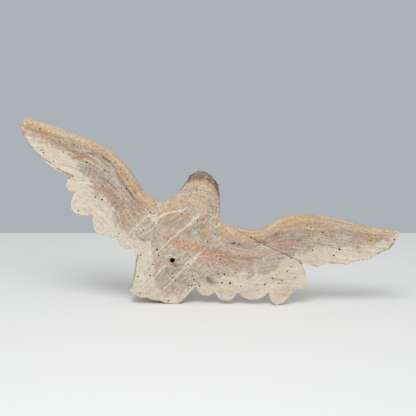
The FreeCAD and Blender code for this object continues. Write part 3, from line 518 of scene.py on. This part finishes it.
def carve_back(skin, sizes):
    """Tool marks, a ledge under the leading edge and spilt gesso on the hollow back."""
    u, v = skin.u, skin.v
    # Long gouge cuts follow the leading edge, over broader and finer unevenness
    wing = smooth_step(np.abs(u - WINGS_MIDDLE), 62, 95)
    drift = skin.top - v + 5 * np.sin(u / 47) + 3 * np.sin(u / 19 + 1)
    strip = drift / GOUGE_WIDTH - np.floor(drift / GOUGE_WIDTH)
    gouges = (4 * strip * (1 - strip) - 1.2) * (0.6 + 0.4 * ripple(u, v, 90, 5)) * wing
    gouges += 0.7 * ripple(u, v, 34, 11) + 0.45 * ripple(u * 0.4, v, 9, 23) + 0.3 * ripple(u, v, 6, 29)
    relief = gouges * sizes.gouge_depth / MM
    # The ledge under the band, and a deeper hollow in the right wing
    below = read(BAND_EDGE, u) - v + 1.2 * ripple(u, v, 26, 17)
    ledge = smooth_step(below, -1.6, 2.0) * (1 - smooth_step(below, 6, 28))
    relief -= read(LEDGE_DEPTHS, u) * ledge
    relief -= 1.2 * hump(u - RIGHT_HOLLOW[0], 34) * hump(v - RIGHT_HOLLOW[1], 12)
    # Short cuts between the feather ends, runs of gesso and chips round the hole
    for cut in FLIGHT_CUTS:
        distance, share = off_line(u, v, *cut)
        relief -= 0.45 * hump(distance, 2.2) * (1 - smooth_step(share, 0.06, 0.36))
    relief += stroke_cover("gesso", u, v) * sizes.gesso_height / MM
    relief -= 0.4 * stroke_cover("dark", u, v)
    chipped = np.hypot(u - HOLE_SPOT[0] - 1.5, v - HOLE_SPOT[1] + 2.5) + 1.2 * ripple(u, v, 7, 43)
    relief -= 1.6 * (1 - smooth_step(chipped, 5.5, 8.5))
    relief *= skin.back
    relief += SEAM_BEAD * hump(off_line(u, v, *LEFT_SEAM)[0], SEAM_BEAD_WIDTH) * (1 - skin.front)
    relief += ARMPIT_FILL * hump(u - ARMPIT[0], ARMPIT_REACH) * hump(v - ARMPIT[1], ARMPIT_REACH) * (1 - skin.back)
    return relief + chips(skin)


def chips(skin):
    """Small chips and dents along the feather ends."""
    rim = (1 - np.maximum(skin.back, skin.front)) * (0.25 + 0.75 * smooth_step(skin.fall, 0.3, 0.6))
    worn = 0.55 * ripple(skin.u, skin.v, 9, 77) + 0.4 * ripple(skin.u, skin.v, 5, 78)
    return rim * (worn - 0.3 + 0.35 * ripple(skin.u, skin.w, 12, 79)) * (1 - 0.6 * smooth_step(skin.w, 20, 30))


def rib(cut, following):
    """The line halfway between two cuts, where a feather has its rib."""
    return [(a + b) / 2 for a, b in zip(cut, following)]


def covert_relief(skin):
    """Rows of overlapping coverts, and the flight feathers below them, on the front of the wings."""
    u, fall = skin.u, skin.fall
    outward = np.where(u < 0, -1, 1)
    relief = np.zeros_like(u)
    covered = np.zeros(len(u), dtype=bool)
    higher = -0.05
    for row in COVERT_ROWS:
        for side, (first, last) in COVERT_SPANS.items():
            step = (last - first) / row[side]
            place = (u + outward * 60 * (row["ends"] - fall) - first) / step
            offset = (place - np.floor(place) - 0.5) * 2
            end = row["ends"] + 0.28 * step * (1 - offset ** 2) / (skin.top - skin.low)
            here = ~covered & (u > first) & (u < last) & (fall <= end)
            hang = (fall - higher) / (end - higher)
            vane = 0.5 * (1 - offset ** 2) - 0.9 * hump(np.abs(offset) - 1, 0.11) + 0.35 * hump(offset, 0.07)
            vane += row["rise"] * hang ** 2 + 0.1 * np.sin((skin.v + 0.6 * np.abs(offset) * step) * 2.2)
            relief = np.where(here, vane, relief)
            covered |= here
        higher = row["ends"]
    flight = smooth_step(fall, 0.64, 0.68) * smooth_step(np.abs(u - WINGS_MIDDLE), 48, 60)
    nearest = np.full(len(u), 30.0)
    for cut in FLIGHT_CUTS:
        nearest = np.minimum(nearest, off_line(u, skin.v, *cut)[0])
    relief += flight * (0.7 * smooth_step(nearest, 0.3, 7) - 1.0 * hump(nearest, 1.3))
    for cut, following in zip(FLIGHT_CUTS, FLIGHT_CUTS[1:]):
        if cut[0] * following[0] > 0:
            relief += 0.45 * hump(off_line(u, skin.v, *rib(cut, following))[0], 1.1) * flight
    return relief


def carve_front(skin, sizes):
    """Feathers on the breast, thighs, wings and tail."""
    u, v, w = skin.u, skin.v, skin.w
    depth = sizes.feather_relief / MM
    trunk = smooth_step(w, 30, 36) * (1 - smooth_step(np.abs(u - TRUNK_MIDDLE), 54, 60)) * smooth_step(v, -72, -66)
    breast = scales(np.arctan2(u - BREAST_MIDDLE, w + 8) * 46, v, *BREAST_FEATHER)
    thigh_zone = smooth_step(-v, 12, 26) * smooth_step(w, 42, 46)
    thigh = scales(np.arctan2(np.abs(u) - LEG_OUT, w - THIGH_FRONT) * 17, v, *THIGH_FEATHER)
    body = breast * (1 - thigh_zone) + 0.7 * thigh * thigh_zone
    tail_zone = smooth_step(-v, 34, 42) * (1 - smooth_step(np.abs(u), 60, 64)) * (1 - trunk)
    tail = np.zeros_like(u)
    for cut in TAIL_CUTS:
        tail -= 1.1 * hump(off_line(u, v, *cut)[0], 1.6)
    for cut, following in zip(TAIL_CUTS, TAIL_CUTS[1:]):
        tail += 0.5 * hump(off_line(u, v, *rib(cut, following))[0], 1.3)
    wings = covert_relief(skin) * (1 - trunk) * (1 - tail_zone) * skin.front
    relief = depth * (trunk * body * skin.front + 0.9 * tail * tail_zone * skin.front + 0.8 * wings)
    return relief + 0.18 * ripple(u, v, 23, 3) * skin.front


def carve_head(skin, sizes):
    """Crown feathers, eyes under a brow, nostrils and the edge of the beak."""
    u, v, w = skin.u, skin.v, skin.w
    side = np.abs(u - HEAD_MIDDLE)
    turn = np.arctan2(u - HEAD_MIDDLE, w - 20)
    face = smooth_step(w, 46, 50) * (1 - smooth_step(side, 15, 19))
    crown = scales(turn * 28, v - 0.25 * w, *CROWN_FEATHER)
    uneven = ripple(u, v, 19, 9)
    crown *= np.maximum(smooth_step(np.pi - np.abs(turn), 0.9, 1.3), smooth_step(v + 2 * uneven, 106, 112))
    relief = 0.75 * sizes.feather_relief / MM * crown * (1 - face)
    # Eyes: a smooth socket, the ball, its rim and the brow over it
    eye = np.hypot(w - EYE_FRONT, v - EYE_HEIGHT)
    eyes = smooth_step(side, 9, 13)
    relief *= 1 - eyes * (1 - smooth_step(eye, 7, 10))
    ball = np.sqrt(np.clip(1 - (eye / EYE_RADIUS) ** 2, 0, 1))
    relief += eyes * (2.0 * ball - 1.6 * hump(eye - EYE_RADIUS - 1.2, 1.3))
    relief += 2.6 * eyes * hump(off_line(w, v, *BROW)[0], 3.0)
    # Beak: the line of the mouth, the edge of the soft skin over it, and the nostrils
    relief -= 1.1 * hump(off_line(w, v, *MOUTH)[0], 1.1) * smooth_step(side, 2, 5)
    relief += 0.8 * hump(w - 63, 2.6) * smooth_step(w, 58, 60) * smooth_step(v, 74, 78)
    relief -= 1.7 * hump(np.hypot(w - NOSTRIL[0], v - NOSTRIL[1]), 1.5) * smooth_step(side, 2.5, 5)
    return relief + 0.3 * ripple(u, v, 14, 8) + 0.2 * ripple(w, v, 7, 12)


def carve_foot(skin):
    """Scaly rings round the shank and toes."""
    reach = np.hypot(skin.u - np.sign(skin.u) * LEG_OUT, skin.w - FOOT_FRONT)
    toes = smooth_step(reach, 11, 14)
    rings = np.sin(reach * 2 * math.pi / TOE_RINGS) * toes * (1 - smooth_step(reach, 24, 27))
    shank = np.sin(skin.v * 2 * math.pi / SHANK_RINGS) * (1 - toes) * smooth_step(skin.normals[:, 1], 0.0, 0.4)
    return 0.35 * rings + 0.3 * shank + 0.15 * ripple(skin.u, skin.v, 11, 4)


# Working on pieces

def take(piece):
    """Selects one piece alone and makes it the active one."""
    bpy.ops.object.select_all(action="DESELECT")
    piece.select_set(True)
    bpy.context.view_layer.objects.active = piece


def finish_with(piece, kind, **settings):
    """Adds a modifier with these settings and applies it."""
    take(piece)
    bpy.ops.object.modifier_add(type=kind)
    modifier = piece.modifiers[-1]
    for name, value in settings.items():
        setattr(modifier, name, value)
    bpy.ops.object.modifier_apply(modifier=modifier.name)


def roughed_out(node, name, spacing):
    """A merged copy of a CAD piece with evenly spaced points all over it."""
    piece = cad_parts[node].copy()
    piece.data = piece.data.copy()
    piece.name = name
    piece.parent = None
    bpy.context.scene.collection.objects.link(piece)
    for key in list(piece.keys()):
        del piece[key]
    take(piece)
    bpy.ops.object.mode_set(mode="EDIT")
    bpy.ops.mesh.select_all(action="SELECT")
    bpy.ops.mesh.remove_doubles(threshold=0.01 * MM)
    bpy.ops.object.mode_set(mode="OBJECT")
    finish_with(piece, "REMESH", mode="VOXEL", voxel_size=spacing)
    piece.data.materials.clear()
    piece.data.materials.append(finish("aged_gesso"))
    return piece


def rounded(piece, where, rounds):
    """Evens out the flat knife cuts, where the weights say so."""
    group = piece.vertex_groups.new(name="worn")
    levels = 4
    for level in range(1, levels + 1):
        members = np.nonzero(np.round(where * levels) == level)[0]
        group.add(members.tolist(), level / levels, "REPLACE")
    finish_with(piece, "SMOOTH", vertex_group="worn", iterations=rounds, factor=0.5)
    piece.vertex_groups.clear()


def worm_cutter(spots, depth):
    """One mesh of all the woodworm holes, each a narrow pit that leans a little."""
    bpy.ops.object.select_all(action="DESELECT")
    bpy.ops.mesh.primitive_cone_add(vertices=7, radius1=1.15, radius2=0.85, depth=2.0, location=(0, 0, 0))
    pit = bpy.context.object
    copies = [pit]
    for _ in spots[1:]:
        copy = pit.copy()
        copy.data = pit.data.copy()
        bpy.context.scene.collection.objects.link(copy)
        copies.append(copy)
    chance = np.random.default_rng(TILT_SEED)
    for copy, (point, normal, radius) in zip(copies, spots):
        tilt = Vector(chance.uniform(-0.25, 0.25, 3))
        inward = (-Vector(normal) + tilt).normalized()
        copy.matrix_world = inward.to_track_quat("Z", "Y").to_matrix().to_4x4()
        copy.scale = (radius * MM, radius * MM, depth)
        copy.location = Vector(point)
    take(pit)
    for copy in copies:
        copy.select_set(True)
    bpy.ops.object.transform_apply(location=True, rotation=True, scale=True)
    bpy.ops.object.join()
    return pit


def bored(piece, sizes):
    """Cuts those woodworm holes whose spot is on this piece, on the side that they face."""
    skin = Skin(piece)
    spots = []
    for u, v, radius, facing in worm_spots(sizes):
        turned_away = skin.normals[:, 1] * facing < 0.2
        near = (skin.u - u) ** 2 + (skin.v - v) ** 2 + 1e6 * turned_away
        index = int(np.argmin(near))
        if near[index] < BORE_REACH ** 2:
            spots.append((skin.points[index], skin.normals[index], radius))
    if spots:
        cutter = worm_cutter(spots, sizes.worm_depth)
        cutter.data.materials.append(finish("aged_gesso"))
        # The pits' walls take the near-black worm hole finish, painted shade for the deep holes.
        for mesh in (cutter.data, piece.data):
            mesh.materials.append(finish("worm_hole_shade"))
        cutter.data.polygons.foreach_set("material_index", [1] * len(cutter.data.polygons))
        finish_with(piece, "BOOLEAN", operation="DIFFERENCE", object=cutter, solver="MANIFOLD")
        bpy.data.objects.remove(cutter)


def worm_spots(sizes):
    """The holes that show in the back, and others scattered over the front, as (u, v, radius, -1 or 1)."""
    chance = np.random.default_rng(WORM_SEED)
    holes = [(u, v, radius, -1) for u, v, radius in WORM_HOLES]
    for _ in range(sizes.front_worms):
        u = chance.uniform(*FRONT_WORM_SPAN)
        top = read(TOP_EDGE, u)
        low = read(LOW_EDGE, u)
        holes.append((u, top + (low - top) * chance.uniform(0.1, 0.95), chance.uniform(0.6, 1.1), 1))
    return holes


def carved(piece, sizes):
    """Cuts the marks of the back and the front, and then the woodworm holes."""
    skin = Skin(piece)
    skin.push(carve_back(skin, sizes) + carve_front(skin, sizes))
    bored(piece, sizes)


def stain_all(piece):
    """Stores where each wash, stroke and coat of the old finish lies."""
    skin = Skin(piece)
    u, v, w = skin.u, skin.v, skin.w
    facing = skin.normals[:, 1]
    behind = 1 - smooth_step(facing, -0.1, 0.4)
    on_neck = smooth_step(v, 50, 70) * (1 - smooth_step(np.abs(u - TRUNK_MIDDLE), 50, 66))
    on_body = (1 - smooth_step(np.abs(u - WINGS_MIDDLE), 50, 84)) * (1 - on_neck)
    uneven = ripple(u, v, 40, 31)
    ragged = ripple(u, v, 13, 32)
    ashy = stain_cover("ash", u, v)
    # The band of ochre along the leading edge, the gesso along the feather ends and the weathered wood between them
    above = v - read(BAND_EDGE, u) + 2 * uneven + ragged
    band = smooth_step(above, -5, 3) * (1 - on_neck)
    ochre = np.maximum(band, 0.6 * on_neck) * (1 - 0.5 * ashy)
    cream = smooth_step(read(GESSO_EDGE, u) - v + 4 * uneven + 3 * ragged, -12, 14)
    cream = np.maximum(cream * behind, smooth_step(skin.fall + 0.06 * uneven, 0.5, 0.8) * (1 - behind))
    grey = read(GREYING, u) * (1 - cream) * (1 - 0.75 * band) * (1 - on_neck)
    grey = np.maximum(grey, ashy * (1 - 0.7 * cream)) * behind
    # Dark grime on the crown, and darker eyes and beak
    crown = smooth_step(v - read(CROWN_EDGE, u) + 1.5 * ragged, -1.5, 2.5) * on_neck
    eyeball = 1 - smooth_step(np.hypot(w - EYE_FRONT, v - EYE_HEIGHT), EYE_RADIUS, 6.6)
    eyes = smooth_step(np.abs(u - HEAD_MIDDLE), 9, 13) * eyeball
    beak = smooth_step(w, 54, 58) * smooth_step(v, 66, 70)
    grimy = np.maximum(np.maximum(stain_cover("dark", u, v), crown), np.maximum(0.8 * eyes, 0.45 * beak))
    skin.keep("washes", ochre, stain_cover("rose", u, v) * behind, grey)
    skin.keep("coats", cream, stroke_cover("gesso", u, v) * skin.back, stain_cover("orange", u, v) * skin.back)
    # The dark runs stored here are partly painted shade along the edges and under the ledge.
    skin.keep("streaks", *[stroke_cover(name, u, v) * behind for name in ("orange", "dark", "brown")])
    skin.keep("marks", stroke_cover("blue", u, v) * behind, grimy, on_body)
    # The carved side, worn edges and cuts, painted shade on the feather ends' side faces, and where the grain runs
    # on wings and body
    rim = smooth_step(1 - np.abs(facing), 0.45, 0.9) * smooth_step(skin.fall, 0.3, 0.6)
    skin.keep("shape", smooth_step(facing, -0.1, 0.35), np.clip(skin.bulge() * 2.5, -1, 1), rim)
    skin.keep("along_wing", u * MM, (skin.top - v) * MM, w * MM)
    skin.keep("along_body", (GRAIN_U * u + GRAIN_V * v) * MM, (GRAIN_V * u - GRAIN_U * v) * MM, w * MM)


# Finishes

class Wire:
    """A value in a material. Sums and products with wires add their own nodes."""

    def __init__(self, socket):
        self.socket = socket
        self.tree = socket.id_data

    def math(self, operation, *others):
        """One maths node with this value first."""
        node = self.tree.nodes.new("ShaderNodeMath")
        node.operation = operation
        for socket, value in zip(node.inputs, (self,) + others):
            connect(self.tree, value, socket)
        return Wire(node.outputs[0])

    def __add__(self, other):
        return self.math("ADD", other)

    def __sub__(self, other):
        return self.math("SUBTRACT", other)

    def __rsub__(self, other):
        return (self * -1) + other

    def __mul__(self, other):
        return self.math("MULTIPLY", other)

    __radd__ = __add__
    __rmul__ = __mul__

    def between(self, low, high):
        """0 below low, 1 above high and a smooth step between them."""
        node = self.tree.nodes.new("ShaderNodeMapRange")
        node.interpolation_type = "SMOOTHSTEP"
        for socket, value in zip(node.inputs, (self, low, high)):
            connect(self.tree, value, socket)
        return Wire(node.outputs[0])


def connect(tree, value, socket):
    """Links a wire to a socket, or sets the socket to one or more numbers, with 1 for those that are left."""
    if isinstance(value, Wire):
        tree.links.new(value.socket, socket)
    elif isinstance(value, (int, float)):
        socket.default_value = value
    else:
        wanted = len(socket.default_value)
        socket.default_value = tuple(value) + (1.0,) * (wanted - len(value))


class Finish:
    """Builds one material."""

    def __init__(self, name):
        self.material = bpy.data.materials.new(name)
        self.material.use_nodes = True
        self.tree = self.material.node_tree
        self.tree.nodes.clear()

    def node(self, kind, settings=(), sockets=(), out=0):
        """Any node: its settings are set first, and then its sockets by name or number."""
        node = self.tree.nodes.new("ShaderNode" + kind)
        for name, value in dict(settings).items():
            setattr(node, name, value)
        for name, value in dict(sockets).items():
            connect(self.tree, value, node.inputs[name])
        return Wire(node.outputs[out])

    def stored(self, name):
        """The three values that a piece stores under this name."""
        vector = self.node("Attribute", {"attribute_name": name}, out="Vector")
        node = vector.tree.nodes.new("ShaderNodeSeparateXYZ")
        connect(self.tree, vector, node.inputs[0])
        return [Wire(socket) for socket in node.outputs]

    def mix(self, factor, below, above):
        """One colour laid over another, where the factor is above 0."""
        return self.node("Mix", {"data_type": "RGBA"}, {0: factor, 6: below, 7: above}, out=2)

    def noise(self, vector, scale, detail=3.0, roughness=0.55, waviness=0.0):
        """Noise from 0 to 1, with this many waves to the metre."""
        sockets = {"Vector": vector, "Scale": scale, "Detail": detail, "Roughness": roughness}
        return self.node("TexNoise", {}, {**sockets, "Distortion": waviness})

    def stretched(self, vector, along, across, through):
        """A place that noise with a scale of 1 reads at these waves to the metre."""
        return self.node("Mapping", {}, {"Vector": vector, "Scale": (along, across, through)})

    def grain(self, vector, stretch, share):
        """Wavy noise drawn out along the grain, where the share is above 0."""
        return self.noise(self.stretched(vector, *stretch), 1.0, 5.0, 0.6, 0.35) * share

    def shade(self, **sockets):
        """Ends the material: a Principled shader with these sockets, whose names have _ for a space."""
        shader = self.node("BsdfPrincipled", {}, {name.replace("_", " "): value for name, value in sockets.items()})
        output = self.tree.nodes.new("ShaderNodeOutputMaterial")
        self.tree.links.new(shader.socket, output.inputs["Surface"])
        return self.material


# Tints of the old finish and of its painted shade that aren't settings, from 0 to 255
TINTS = {
    "brown wood": (168, 138, 114), "tan streak": (204, 166, 120), "dust": (214, 208, 198),
    "grey streak": (168, 158, 142), "brown run": (150, 114, 92), "orange clay": (204, 146, 106),
    "orange run": (206, 156, 98), "old blue": (112, 130, 126), "dark fibre": (132, 104, 84),
    "light fibre": (236, 226, 208), "tan strand": (206, 154, 108), "grey strand": (164, 166, 164),
    "rim shade": (146, 114, 90), "light speck": (234, 226, 210), "dark speck": (134, 106, 88),
    "light grit": (240, 232, 218), "dark grit": (120, 98, 82), "front clay": (146, 96, 74),
    "grime": (92, 80, 72), "gold in grime": (176, 124, 78), "dark run and edge shade": (90, 76, 64), "dirty cut": (98, 78, 60),
    "rubbed edge": (230, 218, 198),
}


def aged_gesso(colours):
    """Dry wood under thin gesso, with ochre, red clay, grime, spilt gesso and rests of gold in front, and painted
    shade on edges.
    """
    f = Finish("aged_gesso")
    ochre, rose, ash = f.stored("washes")
    cream, gesso, orange = f.stored("coats")
    orange_run, dark_run_and_edge_shade, brown_run = f.stored("streaks")
    blue, dark, on_body = f.stored("marks")
    front, bulge, side = f.stored("shape")
    wing = f.node("Attribute", {"attribute_name": "along_wing"}, out="Vector")
    body = f.node("Attribute", {"attribute_name": "along_body"}, out="Vector")
    spot = f.node("TexCoord", out="Object")
    # Noise along the grain, from fine to broad, then noise that is even all ways, from broad to fine
    on_wing = 1 - on_body
    fibre = f.grain(wing, (22, 340, 200), on_wing) + f.grain(body, (46, 240, 200), on_body)
    strand = f.grain(wing, (-13, 190, 120), on_wing) + f.grain(body, (-34, 130, 120), on_body)
    smear = f.grain(wing, (9, -62, 50), on_wing) + f.grain(body, (20, -46, 50), on_body)
    blotch = f.noise(spot, 62.0, 4.0, 0.6)
    cloud = f.noise(spot, 230.0, 3.0, 0.55)
    grit = f.noise(spot, 520.0, 3.0, 0.6)
    streak = fibre.between(0.44, 0.58)
    tan = strand.between(0.47, 0.56)
    patch = blotch.between(0.4, 0.6)
    worn = smear.between(0.4, 0.58)
    flake = cloud.between(0.4, 0.56)
    cream = (cream + (smear + strand * 0.6) * 1.6 - 1.28).between(0.2, 0.7)
    gilding = blotch * 0.5 + strand * 0.8 + bulge * -0.16
    clay = front * gilding.between(0.67, 0.8)
    leaf = front * gilding.between(0.71, 0.83)
    tint = {name: paint(*steps) for name, steps in TINTS.items()}
    colour = f.mix(patch * 0.5 + cream * 0.5, colours.bare, colours.cream)
    # Each coat as (how much of it lies on a spot, its colour), from the wood up
    coats = [
        # Washes
        ((1 - worn) * (1 - cream) * 0.3, tint["brown wood"]),
        (ash * (0.6 + 0.4 * worn), colours.ash),
        (ash * tan * 0.85, tint["tan streak"]),
        (ash * worn * patch * 0.6, tint["dust"]),
        (rose * (0.55 + 0.4 * (1 - worn)), colours.rose),
        (ochre * (0.4 + 0.4 * tan), colours.ochre),
        (ochre * (1 - worn) * streak * 0.4, tint["grey streak"]),
        (cream * (0.5 + 0.4 * patch), colours.cream),
        # Runs and old paint
        (brown_run * (0.1 + 0.5 * tan), tint["brown run"]),
        (orange * (0.8 + 0.2 * patch), tint["orange clay"]),
        (orange_run * (0.3 + 0.6 * streak), tint["orange run"]),
        (blue * (0.45 + 0.5 * flake), tint["old blue"]),
        # Grain and specks, and painted shade on the side faces of the feather ends
        (0.3 * (1 - fibre.between(0.38, 0.52)) * (1 - 0.5 * cream), tint["dark fibre"]),
        (0.3 * fibre.between(0.52, 0.64), tint["light fibre"]),
        ((0.26 - 0.12 * on_body) * strand.between(0.54, 0.62), tint["tan strand"]),
        (0.3 * (1 - strand.between(0.38, 0.46)), tint["grey strand"]),
        # Painted shade: the side faces of the feather ends are darkened to brown.
        (side * (0.3 + 0.3 * tan), tint["rim shade"]),
        (0.2 * cloud.between(0.54, 0.64), tint["light speck"]),
        ((0.26 - 0.12 * cream) * (1 - cloud.between(0.36, 0.46)), tint["dark speck"]),
        ((0.4 - 0.14 * cream) * grit.between(0.54, 0.66), tint["light grit"]),
        ((0.44 - 0.18 * cream) * (1 - grit.between(0.35, 0.46)), tint["dark grit"]),
        # Gilding over clay on the carved front
        (front * 0.35, colours.ochre),
        (clay * 0.5, tint["front clay"]),
        (leaf * 0.5, colours.gold),
        # Grime, dark lines that are partly painted shade along edges and under the ledge, worn edges and spilt
        # gesso
        (dark * (0.35 + 0.55 * flake), tint["grime"]),
        (dark * tan * 0.3, tint["gold in grime"]),
        # Painted shade in part: the dark runs darken the lower edges of the wings, the step under the ledge and the
        # tail's side.
        (dark_run_and_edge_shade * (0.25 + 0.45 * cloud.between(0.36, 0.5)), tint["dark run and edge shade"]),
        ((bulge * -1).between(0.03, 0.4) * (0.3 + 0.3 * front), tint["dirty cut"]),
        (bulge.between(0.04, 0.4) * (0.35 + 0.2 * front), tint["rubbed edge"]),
        (gesso * (0.5 + 0.35 * flake), colours.drip),
    ]
    for share, coat in coats:
        colour = f.mix(share, colour, coat)
    height = fibre * 0.55 + strand * 0.4 + grit * 0.15 + cloud * 0.15
    bump = f.node("Bump", {}, {"Strength": 0.55, "Distance": 0.0016, "Height": height})
    rough = 0.88 - leaf * 0.3 - gesso * 0.1
    return f.shade(Base_Color=colour, Roughness=rough, Metallic=leaf * 0.4, Normal=bump)


def worm_hole_shade(colours):
    """Painted shade: the near-black inside of a woodworm hole, dark as the shadow deep in a narrow pit."""
    f = Finish("worm_hole_shade")
    spot = f.node("TexCoord", out="Object")
    colour = f.mix(f.noise(spot, 900.0), paint(24, 17, 12), paint(44, 32, 22))
    return f.shade(Base_Color=colour, Roughness=0.95)


def turned_wood(colours):
    """Bare wood with its grain along Z, for dowels and pegs."""
    f = Finish("turned_wood")
    spot = f.node("TexCoord", out="Object")
    grain = f.noise(f.stretched(spot, 500, 500, 40), 1.0, 3.0)
    colour = f.mix(grain.between(0.35, 0.65), paint(176, 140, 96), paint(206, 174, 128))
    return f.shade(Base_Color=colour, Roughness=0.7)


def plain(name, near, far):
    """A stage surface with a faint unevenness."""
    f = Finish(name)
    spot = f.node("TexCoord", out="Object")
    colour = f.mix(f.noise(spot, 3.0), near, far)
    return f.shade(Base_Color=colour, Roughness=0.8)


MAKERS = {"aged_gesso": aged_gesso, "worm_hole_shade": worm_hole_shade, "turned_wood": turned_wood}


def finish(name):
    """A finish by name, which is made when it is first asked for."""
    return bpy.data.materials.get(name) or MAKERS[name](bpy.context.scene.carving_colours)


def settled(piece, node):
    """Stains the piece and puts it in the place of its CAD node."""
    stain_all(piece)
    take(piece)
    bpy.ops.object.shade_smooth()
    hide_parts(node)
    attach(piece, "root")


# Operators

class CARVING_OT_body(bpy.types.Operator):
    """Carve the body block: neck, breast, inner feathers and tail"""
    bl_idname = "carving.body"
    bl_label = "Body Block"

    def execute(self, context):
        sizes = context.scene.carving_sizes
        piece = roughed_out("body_block", "carved_body", sizes.body_mesh)
        skin = Skin(piece)
        nose = 1 - smooth_step(skin.top - skin.v, *NOSE)
        rounded(piece, np.clip(0.3 + 0.7 * np.maximum(nose, smooth_step(skin.w, 30, 40)), 0, 1), rounds=9)
        carved(piece, sizes)
        settled(piece, "body_block")
        return {"FINISHED"}


class CARVING_OT_wing(bpy.types.Operator):
    """Carve one outer wing"""
    bl_idname = "carving.wing"
    bl_label = "Wing"
    side: StringProperty(name="Side", description="left or right", default="left")

    def execute(self, context):
        sizes = context.scene.carving_sizes
        node = self.side + "_wing"
        piece = roughed_out(node, "carved_" + node, sizes.wing_mesh)
        skin = Skin(piece)
        rounded(piece, np.clip(1.15 - 0.75 * smooth_step(skin.top - skin.v, *NOSE), 0, 1), rounds=9)
        carved(piece, sizes)
        settled(piece, node)
        return {"FINISHED"}


class CARVING_OT_head(bpy.types.Operator):
    """Carve the head with its beak"""
    bl_idname = "carving.head"
    bl_label = "Head"

    def execute(self, context):
        sizes = context.scene.carving_sizes
        piece = roughed_out("head", "carved_head", sizes.small_mesh)
        rounded(piece, np.ones(len(piece.data.vertices)), rounds=12)
        skin = Skin(piece)
        skin.push(carve_head(skin, sizes))
        bored(piece, sizes)
        settled(piece, "head")
        return {"FINISHED"}


class CARVING_OT_feet(bpy.types.Operator):
    """Carve both clawed feet"""
    bl_idname = "carving.feet"
    bl_label = "Feet"

    def execute(self, context):
        sizes = context.scene.carving_sizes
        for node in ("left_foot", "right_foot"):
            piece = roughed_out(node, "carved_" + node, sizes.small_mesh)
            rounded(piece, np.ones(len(piece.data.vertices)), rounds=4)
            skin = Skin(piece)
            skin.push(carve_foot(skin))
            settled(piece, node)
        return {"FINISHED"}


class CARVING_OT_dowels(bpy.types.Operator):
    """Give the hidden dowels and pegs their wood"""
    bl_idname = "carving.dowels"
    bl_label = "Dowels"

    def execute(self, context):
        for name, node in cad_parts.items():
            if "dowel" in name or "peg" in name:
                node.data.materials.clear()
                node.data.materials.append(finish("turned_wood"))
        return {"FINISHED"}


class CARVING_OT_stage(bpy.types.Operator):
    """Set up the white table, the plain grey background, soft lamps and the camera"""
    bl_idname = "carving.stage"
    bl_label = "Stage"

    def execute(self, context):
        white = plain("white_table", paint(236, 237, 235), paint(238, 238, 236))
        sheet("table_top", (0, TABLE_END - TABLE_SIZE / 2, -TABLE_GAP), 0, white)
        out, down = TABLE_SIZE / 2 * math.cos(TABLE_DROP), TABLE_SIZE / 2 * math.sin(TABLE_DROP)
        sheet("table_drop", (0, TABLE_END + out, -TABLE_GAP - down), -TABLE_DROP, white)
        context.scene.world = studio_world(WORLD_LIGHT, paint(172, 178, 183))
        for name, values in LAMPS.items():
            lamp(name, *values)
        data = bpy.data.cameras.new("view")
        data.lens = CAMERA_LENS
        data.sensor_width = 36.0
        data.clip_end = 50.0
        camera = bpy.data.objects.new("view", data)
        camera.location = CAMERA_PLACE
        camera.rotation_euler = Euler((math.radians(90) - CAMERA_DOWN, 0, 0))
        context.scene.collection.objects.link(camera)
        context.scene.camera = camera
        context.scene.view_settings.view_transform = "Standard"
        return {"FINISHED"}


def sheet(name, middle, tilt, surface):
    """A flat square of the stage."""
    bpy.ops.object.select_all(action="DESELECT")
    bpy.ops.mesh.primitive_plane_add(size=TABLE_SIZE, location=middle, rotation=(tilt, 0, 0))
    bpy.ops.object.transform_apply(location=True, rotation=True, scale=True)
    bpy.context.object.name = name
    bpy.context.object.data.materials.append(surface)


def studio_world(light, background):
    """Even light from all sides, in front of a plain background that only the camera sees."""
    world = bpy.data.worlds.new("studio")
    world.use_nodes = True
    tree = world.node_tree
    camera_ray = tree.nodes.new("ShaderNodeLightPath").outputs["Is Camera Ray"]
    seen = tree.nodes.new("ShaderNodeMix")
    seen.data_type = "RGBA"
    seen.inputs[6].default_value = (*light, 1.0)
    seen.inputs[7].default_value = (*background[:3], 1.0)
    tree.links.new(camera_ray, seen.inputs[0])
    tree.links.new(seen.outputs[2], tree.nodes["Background"].inputs["Color"])
    return world


def lamp(name, place, aim, size, power):
    """A round soft lamp that is aimed at a spot."""
    data = bpy.data.lights.new(name, "AREA")
    data.shape = "DISK"
    data.size = size
    data.energy = power
    light = bpy.data.objects.new(name, data)
    light.location = place
    light.rotation_euler = (Vector(aim) - Vector(place)).to_track_quat("-Z", "Y").to_euler()
    bpy.context.scene.collection.objects.link(light)


class CARVING_PT_panel(bpy.types.Panel):
    """Lists the steps in the 3D view's sidebar."""
    bl_idname = "CARVING_PT_panel"
    bl_label = "Carved Eagle"
    bl_space_type = "VIEW_3D"
    bl_region_type = "UI"
    bl_category = "Carved Eagle"

    def draw(self, context):
        layout = self.layout
        for group in (context.scene.carving_sizes, context.scene.carving_colours):
            for name in group.__annotations__:
                layout.prop(group, name)
        layout.operator("carving.body")
        for side in ("left", "right"):
            layout.operator("carving.wing", text=side.capitalize() + " Wing").side = side
        for step in ("head", "feet", "dowels", "stage"):
            layout.operator("carving." + step)


CLASSES = (
    CarvingSizes, CarvingColours, CARVING_OT_body, CARVING_OT_wing, CARVING_OT_head, CARVING_OT_feet,
    CARVING_OT_dowels, CARVING_OT_stage, CARVING_PT_panel,
)


def register():
    """Adds the settings, steps and panel to Blender."""
    for item in CLASSES:
        bpy.utils.register_class(item)
    bpy.types.Scene.carving_sizes = PointerProperty(type=CarvingSizes)
    bpy.types.Scene.carving_colours = PointerProperty(type=CarvingColours)


def unregister():
    """Takes them out again."""
    del bpy.types.Scene.carving_colours
    del bpy.types.Scene.carving_sizes
    for item in reversed(CLASSES):
        bpy.utils.unregister_class(item)


def main():
    """Makes every piece and the stage."""
    register()
    bpy.ops.carving.body()
    bpy.ops.carving.wing(side="left")
    bpy.ops.carving.wing(side="right")
    bpy.ops.carving.head()
    bpy.ops.carving.feet()
    bpy.ops.carving.dowels()
    bpy.ops.carving.stage()


if __name__ == "__main__":
    main()
